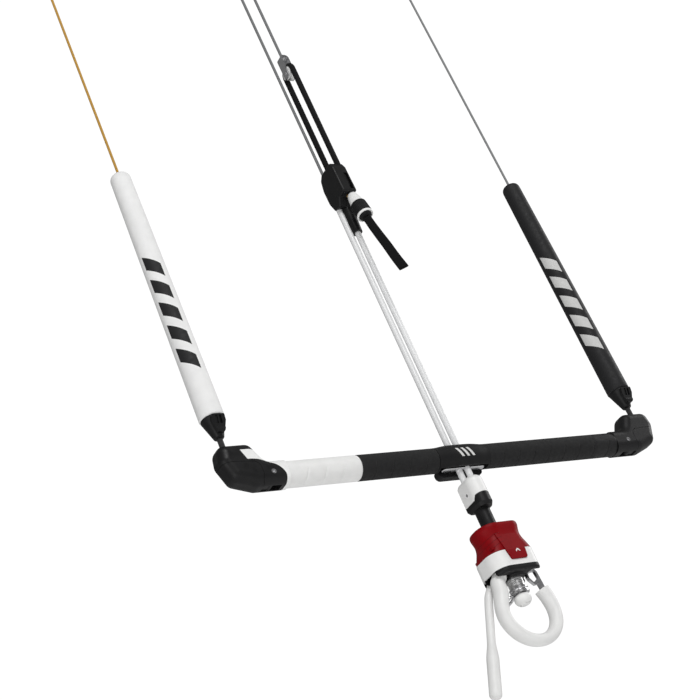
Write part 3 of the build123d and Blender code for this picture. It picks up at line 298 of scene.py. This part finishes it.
def moulded(name, color, low=0.42, high=0.58, grain=0.00006, spread=0.06, **sockets):
    """Injection-moulded plastic: fine spark texture and slow changes of sheen."""
    paint = Paint(name, color, (low + high) / 2, **sockets)
    paint.paint(paint.tones(60, spread))
    paint.gloss(paint.noise(140, 4), low, high)
    paint.relief(paint.noise(2600, 2, 0.6), grain, 0.35)
    paint.relief(paint.noise(45, 2), 0.00012, 0.10)
    return paint


def foam(name, color, spread=0.07):
    """Closed-cell foam: small pits in a matte skin."""
    paint = Paint(name, color, 0.8, Specular_IOR_Level=0.35)
    paint.paint(paint.tones(90, spread))
    paint.gloss(paint.noise(300, 3), 0.55, 0.72)
    paint.relief(paint.ranged(paint.cells(1400), 0.0, 0.6), 0.00010, 0.35)
    paint.relief(paint.noise(900, 3), 0.00010, 0.30)
    return paint


def metal(name, color, low=0.16, high=0.34, along=(1, 1, 1)):
    """Steel or alloy with fine drawn lines and small scuffs."""
    paint = Paint(name, color, 0.25, metallic=1.0)
    paint.paint(paint.tones(220, 0.05))
    lines = paint.noise(260, 2, 0.5, paint.stretched(along))
    paint.gloss(lines, low, high)
    paint.relief(lines, 0.00002, 0.25)
    paint.relief(paint.noise(90, 2), 0.00004, 0.10)
    return paint


def braid(name, color, centre, strands, pitch, depth, dark=0.55, rough=0.75):
    """A plait round an upright line through centre: strands cross both ways; the hollows between them
    are painted darker, as painted shade.
    """
    paint = Paint(name, color, rough, Sheen_Weight=0.12)
    x, y, z = paint.split()
    angle = paint.math(
        "ARCTAN2", paint.math("SUBTRACT", y, centre[1]), paint.math("SUBTRACT", x, centre[0])
    )
    turns = paint.math("MULTIPLY", angle, float(strands))
    climb = paint.math("MULTIPLY", z, 2 * pi / pitch)
    one = paint.math("SINE", paint.math("ADD", turns, climb))
    two = paint.math("SINE", paint.math("SUBTRACT", turns, climb))
    lift = paint.ranged(paint.math("MULTIPLY", one, two), -1.0, 1.0)
    # the hollows between strands are painted darker: painted shade; the raised strands keep the base
    # colour with random flecks
    painted_hollow_shade = tuple(c * dark for c in color)
    fleck = paint.mix(paint.ranged(paint.noise(5200, 2), 0.35, 0.65), color,
                      tuple(min(1.0, c * 1.15) for c in color))
    paint.paint(paint.mix(lift, painted_hollow_shade, fleck))
    paint.relief(lift, depth, 0.8)
    return paint


def cloth(name, color, pitch=0.0009):
    """Woven webbing: ribs across it and a finer weave along it; the hollows of the weave are painted
    darker, as painted shade.
    """
    paint = Paint(name, color, 0.85, Sheen_Weight=0.02, Specular_IOR_Level=0.15)
    uv = paint.node("ShaderNodeTexCoord").outputs["UV"]
    u, v, _ = paint.split(uv)
    across = paint.math("SINE", paint.math("MULTIPLY", u, 2 * pi / pitch))
    along = paint.math("SINE", paint.math("MULTIPLY", v, 2 * pi / (pitch * 1.4)))
    lift = paint.ranged(paint.math("MULTIPLY", across, along), -1.0, 1.0)
    # the hollows of the weave are painted at 0.6 of the colour: painted shade
    paint.paint(paint.mix(lift, tuple(c * 0.6 for c in color), color))
    paint.relief(lift, 0.00012, 0.7)
    paint.relief(paint.noise(1500, 3), 0.00006, 0.3)
    return paint


def bar_row(paint, along, across, span, count, half, lean, share):
    """A row of slanted bars: along and lean in mm, across in degrees from its middle."""
    pitch = (span[1] - span[0]) / count
    climb = paint.math("ADD", paint.math("SUBTRACT", along, span[0]),
                       paint.math("MULTIPLY", across, lean))
    return paint.every(
        paint.under(paint.math("ABSOLUTE", across), half),
        paint.over(paint.math("PINGPONG", climb, pitch / 2), pitch * (0.5 - share)),
        paint.over(climb, 0.0),
        paint.under(climb, span[1] - span[0]),
    )


# ======================= mesh helpers =======================


def new_object(name, verts, faces, material, body=None, uvs=None, smooth=True):
    """A mesh piece from points in metres, with one material, riding on a body."""
    mesh = bpy.data.meshes.new(name)
    mesh.from_pydata(verts, [], faces)
    mesh.materials.append(material)
    if uvs:
        layer = mesh.uv_layers.new(name="UVMap")
        for loop in mesh.loops:
            layer.data[loop.index].uv = uvs[loop.vertex_index]
    mesh.validate()
    mesh.polygons.foreach_set("use_smooth", [smooth] * len(mesh.polygons))
    obj = bpy.data.objects.new(name, mesh)
    bpy.context.scene.collection.objects.link(obj)
    if body:
        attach(obj, body)
    return obj


def ringed(name, rings, material, body=None, caps=True, uvs=None):
    """A closed skin over rings of equal point count; the ends are closed with fans."""
    count = len(rings[0])
    verts = [tuple(p) for ring in rings for p in ring]
    faces = []
    for r in range(len(rings) - 1):
        for i in range(count):
            j = (i + 1) % count
            a, b = r * count, (r + 1) * count
            faces.append((a + i, a + j, b + j, b + i))
    if caps:
        for index, flip in ((0, True), (len(rings) - 1, False)):
            middle = sum((Vector(p) for p in rings[index]), Vector()) / count
            verts.append(tuple(middle))
            if uvs:
                uvs.append(uvs[index * count])
            hub, start = len(verts) - 1, index * count
            for i in range(count):
                j = (i + 1) % count
                faces.append((hub, start + j, start + i) if flip else (hub, start + i, start + j))
    return new_object(name, verts, faces, material, body, uvs)


def turned(name, profile, material, body, frame=None, sides=96, shape=None):
    """Points of (radius, height) in mm turned about Z; shape changes a radius in place."""
    frame = frame or Matrix.Identity(4)
    rings = []
    for radius, height in profile:
        ring = []
        for i in range(sides):
            turn = 2 * pi * i / sides
            r = shape(radius, height, turn) if shape else radius
            ring.append(frame @ (Vector((r * cos(turn), r * sin(turn), height)) * MM))
        rings.append(ring)
    return ringed(name, rings, material, body)


def swept(name, path, material, body=None, sides=24, radius=1.0, shape=None, scales=None):
    """A tube along points in mm; shape(distance, turn) or one scale a point changes its radius."""
    points = [Vector(p) * MM for p in path]
    rings, uvs = [], []
    side, gone = None, 0.0
    for i, point in enumerate(points):
        ahead = points[min(i + 1, len(points) - 1)] - points[max(i - 1, 0)]
        ahead.normalize()
        if side is None:
            side = ahead.orthogonal().normalized()
        side = (side - ahead * side.dot(ahead)).normalized()
        other = ahead.cross(side)
        if i:
            gone += (point - points[i - 1]).length
        ring = []
        for k in range(sides):
            turn = 2 * pi * k / sides
            r = radius * MM * (shape(gone, turn) if shape else 1.0)
            if scales:
                r *= scales[i]
            ring.append(point + side * r * cos(turn) + other * r * sin(turn))
            uvs.append((turn * radius * MM, gone))
        rings.append(ring)
    return ringed(name, rings, material, body, uvs=uvs)


def smooth_path(points, per_span=12):
    """A Catmull-Rom line through the points."""
    pts = [Vector(p) for p in points]
    pts = [pts[0] * 2 - pts[1], *pts, pts[-1] * 2 - pts[-2]]
    line = []
    for i in range(1, len(pts) - 2):
        a, b, c, d = pts[i - 1:i + 3]
        for k in range(per_span):
            t = k / per_span
            line.append(0.5 * ((2 * b) + (c - a) * t + (2 * a - 5 * b + 4 * c - d) * t * t
                               + (3 * b - a - 3 * c + d) * t ** 3))
    line.append(pts[-2])
    return line


# ======================= the frame =======================

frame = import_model()
nodes = frame["nodes"]
make_camera()
make_stage()

BAR_Z = 188.0
LEADER_X = 245.0
FLOAT_Z = (250.5, 537.0)
CENTRE_TOP_Z = 836.0
SIDES = {"left": -1, "right": 1}

# ======================= flying lines =======================

STEER_R, CENTRE_R = 1.35, 1.6
LINES = {
    # piece: centre (x, y), foot and top heights, radius, body, colour, replaced nodes, slot
    "steering_line_left_cord": ((-LEADER_X, 0), FLOAT_Z[1], 800.0, STEER_R, "leader_left",
                                (0.58, 0.31, 0.035), ("steering_line_left",), "line_amber"),
    "steering_line_right_cord": ((LEADER_X, 0), FLOAT_Z[1], 860.0, STEER_R, "leader_right",
                                 (0.27, 0.275, 0.28), ("steering_line_right",), "line_grey"),
    "safety_line_cord": ((-3.9, 1.4), 545.0, CENTRE_TOP_Z, CENTRE_R, "line_head",
                         (0.20, 0.205, 0.21), ("safety_line",), "line_grey"),
    "front_line_cord": ((3.5, -10.0), 709.5, CENTRE_TOP_Z, CENTRE_R, "trim_pulley",
                        (0.20, 0.205, 0.21), ("front_line",), "line_grey"),
}
LOOP_NODES = {
    "steering_line_left_cord": "steering_loop_left",
    "steering_line_right_cord": "steering_loop_right",
    "safety_line_cord": "safety_line_loop",
    "front_line_cord": "front_line_loop",
}


KNOT_TURNS, KNOT_STEPS = 3, 96
EYE_HALF, EYE_TALL, EYE_STEPS = 5.72, 13.4, 64


def line_loop(name, centre, z, radius, paint, body):
    """A knot with a long spliced eye above it."""
    x, y = centre
    knot = []
    for i in range(KNOT_STEPS + 1):
        t = i / KNOT_STEPS
        turn = 2 * pi * KNOT_TURNS * t
        wide = radius * (1.25 + 0.25 * sin(pi * t))
        knot.append((x + wide * cos(turn), y + wide * sin(turn), z + radius * (0.6 + 4.6 * t)))
    swept(f"{name}_knot", knot, paint, body, sides=14, radius=radius * 0.85)
    eye = []
    for i in range(EYE_STEPS + 1):
        t = 2 * pi * i / EYE_STEPS
        up = 0.5 - 0.5 * cos(t)
        eye.append((x + EYE_HALF * sin(t) * sqrt(up), y, z + radius * 4.2 + EYE_TALL * up))
    swept(f"{name}_eye", eye, paint, body, sides=14, radius=radius * 0.85)
    return [f"{name}_knot", f"{name}_eye"]


for name, (centre, low, high, radius, body, color, replaced, slot) in LINES.items():
    paint = braid(name, color, (centre[0] * MM, centre[1] * MM), 3, radius * 3.0 * MM,
                  radius * 0.14 * MM, dark=0.62).mat
    curve = bpy.data.curves.new(name, "CURVE")
    curve.dimensions = "3D"
    curve.bevel_depth = radius * MM
    curve.bevel_resolution = 6
    spline = curve.splines.new("NURBS")
    stations = [low, low + 30, (low + high) / 2, high - 30, high]
    spline.points.add(len(stations) - 1)
    for point, z in zip(spline.points, stations):
        point.co = (centre[0] * MM, centre[1] * MM, z * MM, 1)
    spline.order_u = 3
    spline.use_endpoint_u = True
    spline.resolution_u = 24
    curve.materials.append(paint)
    cord = bpy.data.objects.new(name, curve)
    bpy.context.scene.collection.objects.link(cord)
    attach(cord, body)
    loop_node = LOOP_NODES[name]
    extras = line_loop(loop_node, centre, high, radius, paint, body)
    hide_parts(*replaced)
    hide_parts(loop_node)

# ======================= materials of the carried-over nodes =======================

BLACK = (0.007, 0.007, 0.0075)
WHITE = (0.88, 0.88, 0.87)
RED = (0.225, 0.0012, 0.004)

black = moulded("black_moulding", BLACK, 0.36, 0.54, Specular_IOR_Level=0.25)
black_soft = moulded("black_soft_moulding", (0.008, 0.008, 0.0085), 0.50, 0.66, 0.0001,
                     Specular_IOR_Level=0.2)
white = moulded("white_moulding", WHITE, 0.34, 0.46, 0.00004, 0.03)
steel = metal("polished_steel", (0.58, 0.58, 0.59), 0.12, 0.30)
steel_turned = metal("turned_steel", (0.62, 0.62, 0.62), 0.18, 0.36, (1, 1, 14))
wire = metal("spring_wire", (0.42, 0.42, 0.44), 0.2, 0.35)
alloy = metal("grey_alloy", (0.25, 0.25, 0.26), 0.25, 0.42, (8, 1, 1))
brass = metal("brass", (0.62, 0.42, 0.16), 0.2, 0.35)
tube = Paint("white_tube", (0.80, 0.805, 0.81), 0.35)
tube.paint(tube.tones(60, 0.03))
tube.gloss(tube.noise(60, 3), 0.30, 0.42)
tube.relief(tube.noise(70, 2), 0.00010, 0.12)


def rope_paint(name, color, centre, radius):
    """Plait for an upright rope about a centre in mm, with painted shade in the hollows between strands.
    """
    return braid(name, color, (centre[0] * MM, centre[1] * MM), 6, radius * 2.6 * MM,
                 radius * 0.12 * MM)


INLAY_CENTRE, INLAY_RADII = (-233.0, 181.0), (33.5, 19.8)
INLAY_TOP_Z, INLAY_LEFT_X, INLAY_LEAN, INLAY_START = 210.7, -237.0, 0.424, -0.12


def left_end_paint():
    """Black end with a white sweep that runs from its inner shoulder into the white grip."""
    paint = moulded("left_end_moulding", BLACK, 0.36, 0.54, Specular_IOR_Level=0.25)
    x, _, z = paint.in_mm()
    u = paint.math("DIVIDE", paint.math("SUBTRACT", x, INLAY_CENTRE[0]), INLAY_RADII[0])
    v = paint.math("DIVIDE", paint.math("SUBTRACT", z, INLAY_CENTRE[1]), INLAY_RADII[1])
    v = paint.math("MAXIMUM", v, 0.0)
    round_edge = paint.math("ADD", paint.math("MULTIPLY", u, u), paint.math("MULTIPLY", v, v))
    down = paint.math("SUBTRACT", INLAY_TOP_Z, z)
    left_edge = paint.math("SUBTRACT", x, paint.math("MULTIPLY", down, INLAY_LEAN))
    inlay = paint.every(paint.over(u, INLAY_START), paint.over(round_edge, 1.0),
                        paint.over(down, 0.0), paint.over(left_edge, INLAY_LEFT_X))
    paint.paint(paint.mix(inlay, paint.tones(60, 0.06), WHITE))
    return paint


HUB_MARK_X, HUB_MARK_HALF = (-9.0, 10.0), 20.0


def hub_paint():
    """Soft black shell with three slanted white bars on its front."""
    paint = moulded("hub_moulding", (0.008, 0.008, 0.0085), 0.50, 0.66, 0.0001,
                    Specular_IOR_Level=0.2)
    x, y, z = paint.in_mm()
    rise = paint.math("SUBTRACT", z, BAR_Z)
    swing = paint.math("MULTIPLY", paint.math("ARCTAN2", rise, paint.math("MULTIPLY", y, -1.0)),
                       180 / pi)
    mark = bar_row(paint, x, swing, HUB_MARK_X, 3, HUB_MARK_HALF, 0.12, 0.24)
    paint.paint(paint.mix(mark, paint.tones(60, 0.06), (0.70, 0.70, 0.69)))
    return paint


CHEVRON_X, CHEVRON_PEAK_Z, CHEVRON_FRONT_Y = 2.3, 77.7, -17.0
CHEVRON_HALF, CHEVRON_SLOPE, CHEVRON_LIMB = 2.4, 0.9, 0.75
GROOVE_Z, GROOVE_PITCH, GROOVE_HALF, GROOVE_BEND = (83.5, 98.0), 5.2, 0.4, 0.012


def handle_paint():
    """Red moulding with finger grooves on the left, painted darker red as painted shade, and a small
    white chevron on the lobe.
    """
    paint = moulded("handle_moulding", RED, 0.36, 0.5, 0.00005, 0.08, Specular_IOR_Level=0.12)
    x, y, z = paint.in_mm()
    off = paint.math("ABSOLUTE", paint.math("SUBTRACT", x, CHEVRON_X))
    limb = paint.math("ADD", z, paint.math("MULTIPLY", off, CHEVRON_SLOPE))
    chevron = paint.every(paint.near(limb, CHEVRON_PEAK_Z, CHEVRON_LIMB), paint.under(off, CHEVRON_HALF),
                          paint.under(y, CHEVRON_FRONT_Y))
    bend = paint.math("MULTIPLY", paint.math("MULTIPLY", x, x), GROOVE_BEND)
    arc = paint.math("ADD", z, bend)
    groove = paint.every(paint.under(paint.math("PINGPONG", arc, GROOVE_PITCH / 2), GROOVE_HALF),
                         paint.over(z, GROOVE_Z[0]), paint.under(z, GROOVE_Z[1]),
                         paint.under(x, -6.5), paint.under(y, 6.0))
    # the grooves are painted a darker red: painted shade in the grooves, on top of their bump
    shaded = paint.mix(groove, paint.tones(60, 0.08), tuple(c * 0.75 for c in RED))
    paint.paint(paint.mix(chevron, shaded, WHITE))
    paint.relief(paint.math("SUBTRACT", 1.0, groove), 0.00035, 0.5)
    return paint


LOOK = {
    "release_base": black, "release_collar": white, "stem": black, "release_pins": steel,
    "leash_spool": steel_turned, "leash_knob": white, "release_handle": handle_paint(),
    "handle_bush": white, "latch_pawl": steel, "loop_link": steel,
    "leash_ring": steel, "swivel_cap": white, "swivel_housing": black, "swivel_pin": steel,
    "tube_left": tube, "tube_right": tube, "trim_housing": black, "trim_cleat": alloy,
    "trim_eyelet": brass, "guide_bush": black, "guide_plate": steel, "hub_body": hub_paint(),
    "hub_cover": black_soft, "bar_fasteners": steel, "core_tubes": alloy, "end_left": left_end_paint(),
    "end_right": black, "winder_left": black, "winder_right": black,
    "float_plug_left": black, "float_plug_right": black, "plug_clip_left": black,
    "plug_clip_right": black, "pulley_strap": steel, "pulley_axle": steel,
    "pulley_wheel": white,
    "depower_rope": rope_paint("depower_plait", (0.3, 0.3, 0.3), (3.9, -1.4), 1.8),
    "safety_rope": rope_paint("safety_plait", (0.3, 0.3, 0.3), (-3.9, 1.4), 1.6),
    "leader_rope_left": rope_paint("leader_left_plait", (0.018, 0.018, 0.019), (-LEADER_X, 0), 2.7),
    "leader_rope_right": rope_paint("leader_right_plait", (0.018, 0.018, 0.019), (LEADER_X, 0), 2.7),
}

# ---- the loop and the finger share one matte white moulding ----
loop_white = moulded("loop_moulding", (0.84, 0.84, 0.83), 0.40, 0.52, 0.00006, 0.03)
LOOK["chicken_loop"] = loop_white

for node, paint in LOOK.items():
    nodes[node].material_slots[0].material = paint.mat

# ======================= the finger =======================

FINGER_LINE = [(-19.0, 12.2, 59.0), (-27.0, 12.8, 45.6), (-36.4, 13.6, 23.0), (-43.4, 14.2, 5.5),
               (-49.3, 14.5, -9.5), (-62.0, 14.8, -41.0), (-64.0, 14.8, -46.0)]
FINGER_R, FINGER_TIP_R, FINGER_STEP_Z = 3.95, 5.8, (7.0, -11.0)
FINGER_NECK, FINGER_NECK_LENGTH, FINGER_TIP_LENGTH = 0.72, 12.0, 4.5


def finger_radii(path):
    """Slim above, thicker below the step, with a rounded tip; one scale for each path point."""
    total = sum((b - a).length for a, b in zip(path, path[1:]))
    high, low = FINGER_STEP_Z
    gone, scales = 0.0, []
    for i, point in enumerate(path):
        if i:
            gone += (point - path[i - 1]).length
        t = min(1.0, max(0.0, (high - point.z) / (high - low)))
        wide = FINGER_R + (FINGER_TIP_R - FINGER_R) * t * t * (3 - 2 * t)
        slim = min(1.0, FINGER_NECK + (1 - FINGER_NECK) * gone / FINGER_NECK_LENGTH)
        left = min(1.0, max(0.0, (total - gone) / FINGER_TIP_LENGTH))
        scales.append(wide * slim * sqrt(max(0.02, 1 - (1 - left) ** 2)))
    return scales


finger_path = smooth_path(FINGER_LINE, 24)
finger_skin = swept("finger_skin", finger_path, loop_white.mat, "finger", sides=48,
                    scales=finger_radii(finger_path))
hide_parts("finger")

# ======================= the release spring =======================

SPRING_Z, SPRING_R, WIRE_R, SPRING_TURNS = (84.4, 102.8), 9.7, 0.6, 5


def make_spring():
    """A coil on the handle; as the handle rises, its top stays under the stem's flange."""
    low, high = SPRING_Z[0] + WIRE_R + 0.05, SPRING_Z[1] - WIRE_R - 0.05
    steps = 60 * SPRING_TURNS
    coil = [(SPRING_R * cos(2 * pi * i / 60), SPRING_R * sin(2 * pi * i / 60),
             low + (high - low) * i / steps) for i in range(steps + 1)]
    piece = swept("spring_coil", coil, wire.mat, "release_handle", sides=12, radius=WIRE_R)
    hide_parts("release_spring")
    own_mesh(piece)


make_spring()

# ======================= grips =======================

GRIP_R, GRIP_BORE_R = 12.2, 8.55
GROOVE_STEP = 19.4
RIB_COUNT = 84


def grip_radius(x, turn, grooves, plain):
    """Fine ribs along the bar; swept grooves on the lower front; turn runs from the top forward."""
    high = degrees(turn)
    rib = 0.5 + 0.5 * cos(RIB_COUNT * turn)
    depth = 0.26 * rib ** 2
    if plain(x, high):
        depth *= 0.15
    for groove in grooves:
        low = (high - 96) / 100
        if 0 < low < 1:
            line = groove + 3.2 - 7.5 * low + 3.0 * low * low
            gap = x - line
            edge = min(1.0, min(low, 1 - low) * 12)
            if -3.2 < gap <= 0:
                depth += 0.85 * edge * exp(-((gap / 0.5) ** 2))
            elif 0 < gap < 6:
                depth += edge * (0.85 * exp(-((gap / 0.5) ** 2)) + 0.12 * exp(-gap / 2.2))
    return GRIP_R - depth


def make_grip(name, start, end, grooves, paint, node, plain, step=0.8):
    """A sleeve from start to end along X, with rounded rims."""
    sides = 336
    count = int((end - start) / step)
    rings = []
    for i in range(count + 1):
        x = start + (end - start) * i / count
        rim = min(x - start, end - x)
        soft = 0.6 * (1 - min(1.0, rim / 0.8)) ** 2
        ring = []
        for k in range(sides):
            turn = 2 * pi * k / sides
            r = grip_radius(x, turn, grooves, plain) - soft
            ring.append(Vector((x, -r * sin(turn), BAR_Z + r * cos(turn))) * MM)
        rings.append(ring)
    piece = ringed(name, rings, paint, "bar", caps=False)
    bore = []
    for x in (start, end):
        for k in range(sides):
            turn = 2 * pi * k / sides
            bore.append(Vector((x, -GRIP_BORE_R * sin(turn), BAR_Z + GRIP_BORE_R * cos(turn))) * MM)
    mesh = piece.data
    verts = [v.co.copy() for v in mesh.vertices] + bore
    faces = [tuple(p.vertices) for p in mesh.polygons]
    first, last = 0, count * sides
    inner_a, inner_b = (count + 1) * sides, (count + 2) * sides
    for k in range(sides):
        j = (k + 1) % sides
        faces.append((inner_a + k, inner_a + j, first + j, first + k))
        faces.append((last + k, last + j, inner_b + j, inner_b + k))
        faces.append((inner_b + k, inner_b + j, inner_a + j, inner_a + k))
    mesh.clear_geometry()
    mesh.from_pydata(verts, [], faces)
    mesh.polygons.foreach_set("use_smooth", [True] * len(mesh.polygons))
    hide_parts(node)
    return piece


grip_foam = foam("grip_foam", (0.008, 0.008, 0.0085))
grip_foam_white = foam("grip_foam_white", (0.86, 0.86, 0.85), 0.03)
make_grip("grip_skin_white", -195.5, -118.0, [-178.5 + GROOVE_STEP * i for i in range(3)],
          grip_foam_white.mat, "grip_white",
          lambda x, high: 50 < high < 92 and -186 < x < -136)
make_grip("grip_skin_left", -118.0, -30.0, [-104.0 + GROOVE_STEP * i for i in range(4)],
          grip_foam.mat, "grip_left", lambda x, high: False)
make_grip("grip_skin_right", 30.0, 195.5, [46.0 + GROOVE_STEP * i for i in range(8)],
          grip_foam.mat, "grip_right", lambda x, high: x > 168)

# ======================= floats =======================


def float_profile():
    """Outline of a float, from its bore at the foot round to its bore at the top."""
    foot, top = FLOAT_Z
    points = [(4.0, foot + 0.2), (10.4, foot), (11.4, foot + 0.35), (12.0, foot + 1.6)]
    for i in range(1, 40):
        t = i / 40
        points.append((12.0 - 1.8 * t + 0.12 * sin(pi * t), foot + 1.6 + (top - foot - 7.6) * t))
    for i in range(9):
        a = radians(90 * i / 8)
        points.append((10.2 - 4.6 * (1 - cos(a)), top - 6.0 + 5.8 * sin(a)))
    points.append((4.4, top - 0.3))
    points.append((2.0, top - 0.6))
    points.append((1.6, top - 2.5))
    return points


MARK_Z = (300.0, 432.0)
MARK_BARS = 5
MARK_HALF = 42.0
MARK_LEAN = 0.16


def turned_angle(paint, sideways, forward, facing=0.0):
    """Degrees round an axis, measured from the facing direction."""
    angle = paint.math("ARCTAN2", sideways, forward)
    return paint.math("SUBTRACT", paint.math("MULTIPLY", angle, 180 / pi), facing)


def float_paint(name, color, mark_color, centre_x, facing):
    """Foam with a row of slanted bars printed on the side that faces the front."""
    paint = foam(name, color, 0.03)
    x, y, z = paint.in_mm()
    swing = turned_angle(paint, paint.math("SUBTRACT", x, centre_x),
                         paint.math("MULTIPLY", y, -1.0), facing)
    mark = bar_row(paint, z, swing, MARK_Z, MARK_BARS, MARK_HALF, MARK_LEAN, 0.29)
    paint.paint(paint.mix(mark, paint.tones(90, 0.03), mark_color))
    return paint


FLOAT_LOOK = {
    "left": float_paint("float_foam_white", (0.86, 0.86, 0.855), (0.012, 0.012, 0.013), -LEADER_X, -35),
    "right": float_paint("float_foam_black", (0.010, 0.010, 0.011), (0.62, 0.62, 0.61), LEADER_X, -48),
}
for side, end in SIDES.items():
    place = Matrix.Translation((end * LEADER_X * MM, 0, 0))
    piece = turned(f"float_body_{side}", float_profile(), FLOAT_LOOK[side].mat, f"leader_{side}",
                   place, sides=128)
    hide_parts(f"float_{side}")

# ======================= trim rope and toggle =======================

TRIM_X, PULLEY_Y, PULLEY_Z = 3.5, -10.0, 685.0
PITCH_R, ROPE_R, ROPE_FOOT_Z = 8.6, 3.2, 514
RUN_STEPS, TURN_STEPS = 220, 36
PLAIT = (6, 9.0, 0.035)    # strands each way, pitch in mm, depth as a share of the radius
rope_black = Paint("trim_plait", (0.006, 0.006, 0.0065), 0.75, Sheen_Weight=0.02,
                   Specular_IOR_Level=0.15)
rope_black.paint(rope_black.tones(2400, 0.35))
rope_black.relief(rope_black.noise(4200, 2), 0.00008, 0.5)


def plait(strands, pitch, depth):
    """Strands that cross both ways round a rope, as a change of its radius."""
    def shape(gone, turn):
        climb = 2 * pi * gone / (pitch * MM)
        return 1.0 + depth * sin(strands * turn + climb) * sin(strands * turn - climb)
    return shape


def trim_rope_path():
    """Up behind the pulley, over it and down in front, in mm."""
    rise = PULLEY_Z - ROPE_FOOT_Z
    back, front = PULLEY_Y + PITCH_R, PULLEY_Y - PITCH_R
    path = [(TRIM_X, back, ROPE_FOOT_Z + rise * i / RUN_STEPS) for i in range(RUN_STEPS + 1)]
    for i in range(1, TURN_STEPS):
        a = pi * i / TURN_STEPS
        path.append((TRIM_X, PULLEY_Y + PITCH_R * cos(a), PULLEY_Z + PITCH_R * sin(a)))
    path += [(TRIM_X, front, PULLEY_Z - rise * i / RUN_STEPS) for i in range(RUN_STEPS + 1)]
    return path


def make_trim_rope():
    """The rope stretches between the line head and the pulley."""
    rope = swept("trim_rope_plait", trim_rope_path(), rope_black.mat, sides=32,
                 radius=ROPE_R - 0.1, shape=plait(*PLAIT))
    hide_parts("trim_rope")
    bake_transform(rope)


make_trim_rope()

TOGGLE_TOP = Vector((TRIM_X, -17.9, 504.0))
TOGGLE_SLOPE = (-0.179, -0.9838)    # Y and Z travelled for each mm down the toggle
toggle_down = Vector((0.0, *TOGGLE_SLOPE)).normalized()
toggle_out = Vector((1, 0, 0))
toggle_side = toggle_down.cross(toggle_out)
TOGGLE = Matrix.Translation(TOGGLE_TOP * MM) @ Matrix(
    (toggle_out, toggle_side, toggle_down)).transposed().to_4x4()


def band_ribs(radius, height, turn):
    """Shallow ribs round the rubber band."""
    return radius + 0.14 * cos(36 * turn)


def make_toggle():
    """White cone, ribbed black band, thin white rim and the black plug inside it."""
    cone = turned("toggle_grip", [(3.3, 1.0), (3.6, 0.6), (4.6, 1.0), (5.4, 3.0), (6.4, 8.0),
                  (7.2, 14.0), (7.6, 18.0), (7.6, 34.0)], white.mat, "toggle", TOGGLE)
    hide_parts("toggle_cone")
    band_profile = [(7.5, 16.2), (8.2, 16.4), (8.5, 17.2)]
    band_profile += [(8.5 + 0.35 * i / 10, 17.2 + 14.0 * i / 10) for i in range(1, 11)]
    band_profile += [(8.7, 31.9), (7.6, 32.2)]
    band = turned("toggle_rubber", band_profile, black_soft.mat, "toggle", TOGGLE, 216, band_ribs)
    rim = turned("toggle_rim", [(7.0, 31.8), (8.2, 31.8), (8.8, 32.2), (9.0, 33.2), (8.8, 34.2),
                 (8.2, 34.8), (7.6, 34.6), (7.2, 33.6)], white.mat, "toggle", TOGGLE)
    plug = turned("toggle_plug", [(7.1, 30.0), (7.2, 33.4), (6.6, 35.2), (5.2, 36.4), (1.0, 36.8)],
                  black_soft.mat, "toggle", TOGGLE)
    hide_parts("toggle_band")


def make_toggle_rope():
    """The rope's tail from the cleat into the toggle."""
    path = []
    for step in range(97):
        down = -12 + 0.25 * step
        path.append((TRIM_X, TOGGLE_TOP.y + TOGGLE_SLOPE[0] * down,
                     TOGGLE_TOP.z + TOGGLE_SLOPE[1] * down))
    tail = swept("toggle_rope", path, rope_black.mat, sides=32, radius=2.9, shape=plait(*PLAIT))
    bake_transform(tail)


STRAP_POINTS = [(3.5, -24.6, 467.0), (3.5, -26.6, 456.0), (3.7, -30.0, 440.0), (4.0, -33.6, 424.0),
                (4.2, -37.4, 405.0), (4.2, -41.8, 387.5)]
STRAP_FACE = Vector((0.9, -0.55, 0.2))      # the webbing's width lies this way
STRAP_SIDES = 32


def make_webbing():
    """Flat webbing that widens a little and thins towards its cut end."""
    webbing = cloth("toggle_webbing", (0.005, 0.005, 0.0055))
    line = smooth_path(STRAP_POINTS, 10)
    rings, uvs, gone = [], [], 0.0
    for i, point in enumerate(line):
        t = i / (len(line) - 1)
        ahead = (line[min(i + 1, len(line) - 1)] - line[max(i - 1, 0)]).normalized()
        wide_dir = (STRAP_FACE - ahead * STRAP_FACE.dot(ahead)).normalized()
        thin_dir = ahead.cross(wide_dir)
        half_wide = 4.3 + 0.9 * t
        half_thin = 2.3 - 1.1 * t
        if i:
            gone += (point - line[i - 1]).length
        ring = []
        for k in range(STRAP_SIDES):
            turn = 2 * pi * k / STRAP_SIDES
            sx, sy = cos(turn), sin(turn)
            wide = half_wide * (abs(sx) ** 0.45) * (1 if sx >= 0 else -1)
            thin = half_thin * (abs(sy) ** 0.6) * (1 if sy >= 0 else -1)
            ring.append((point + wide_dir * wide + thin_dir * thin) * MM)
            uvs.append((wide * MM, gone * MM))
        rings.append(ring)
    strap = ringed("toggle_webbing_tail", rings, webbing.mat, "toggle", uvs=uvs)
    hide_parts("toggle_strap")


make_toggle()
make_toggle_rope()
make_webbing()

# ======================= lights =======================

area_light("key", (-0.6, -2.6, 2.2), (0, 0, 0.35), 1.5, 52)
area_light("rim", (2.4, -0.4, 1.2), (0, 0, 0.35), 1.2, 22)
area_light("low", (-2.2, -1.4, -0.5), (0, 0, 0.25), 1.4, 15)
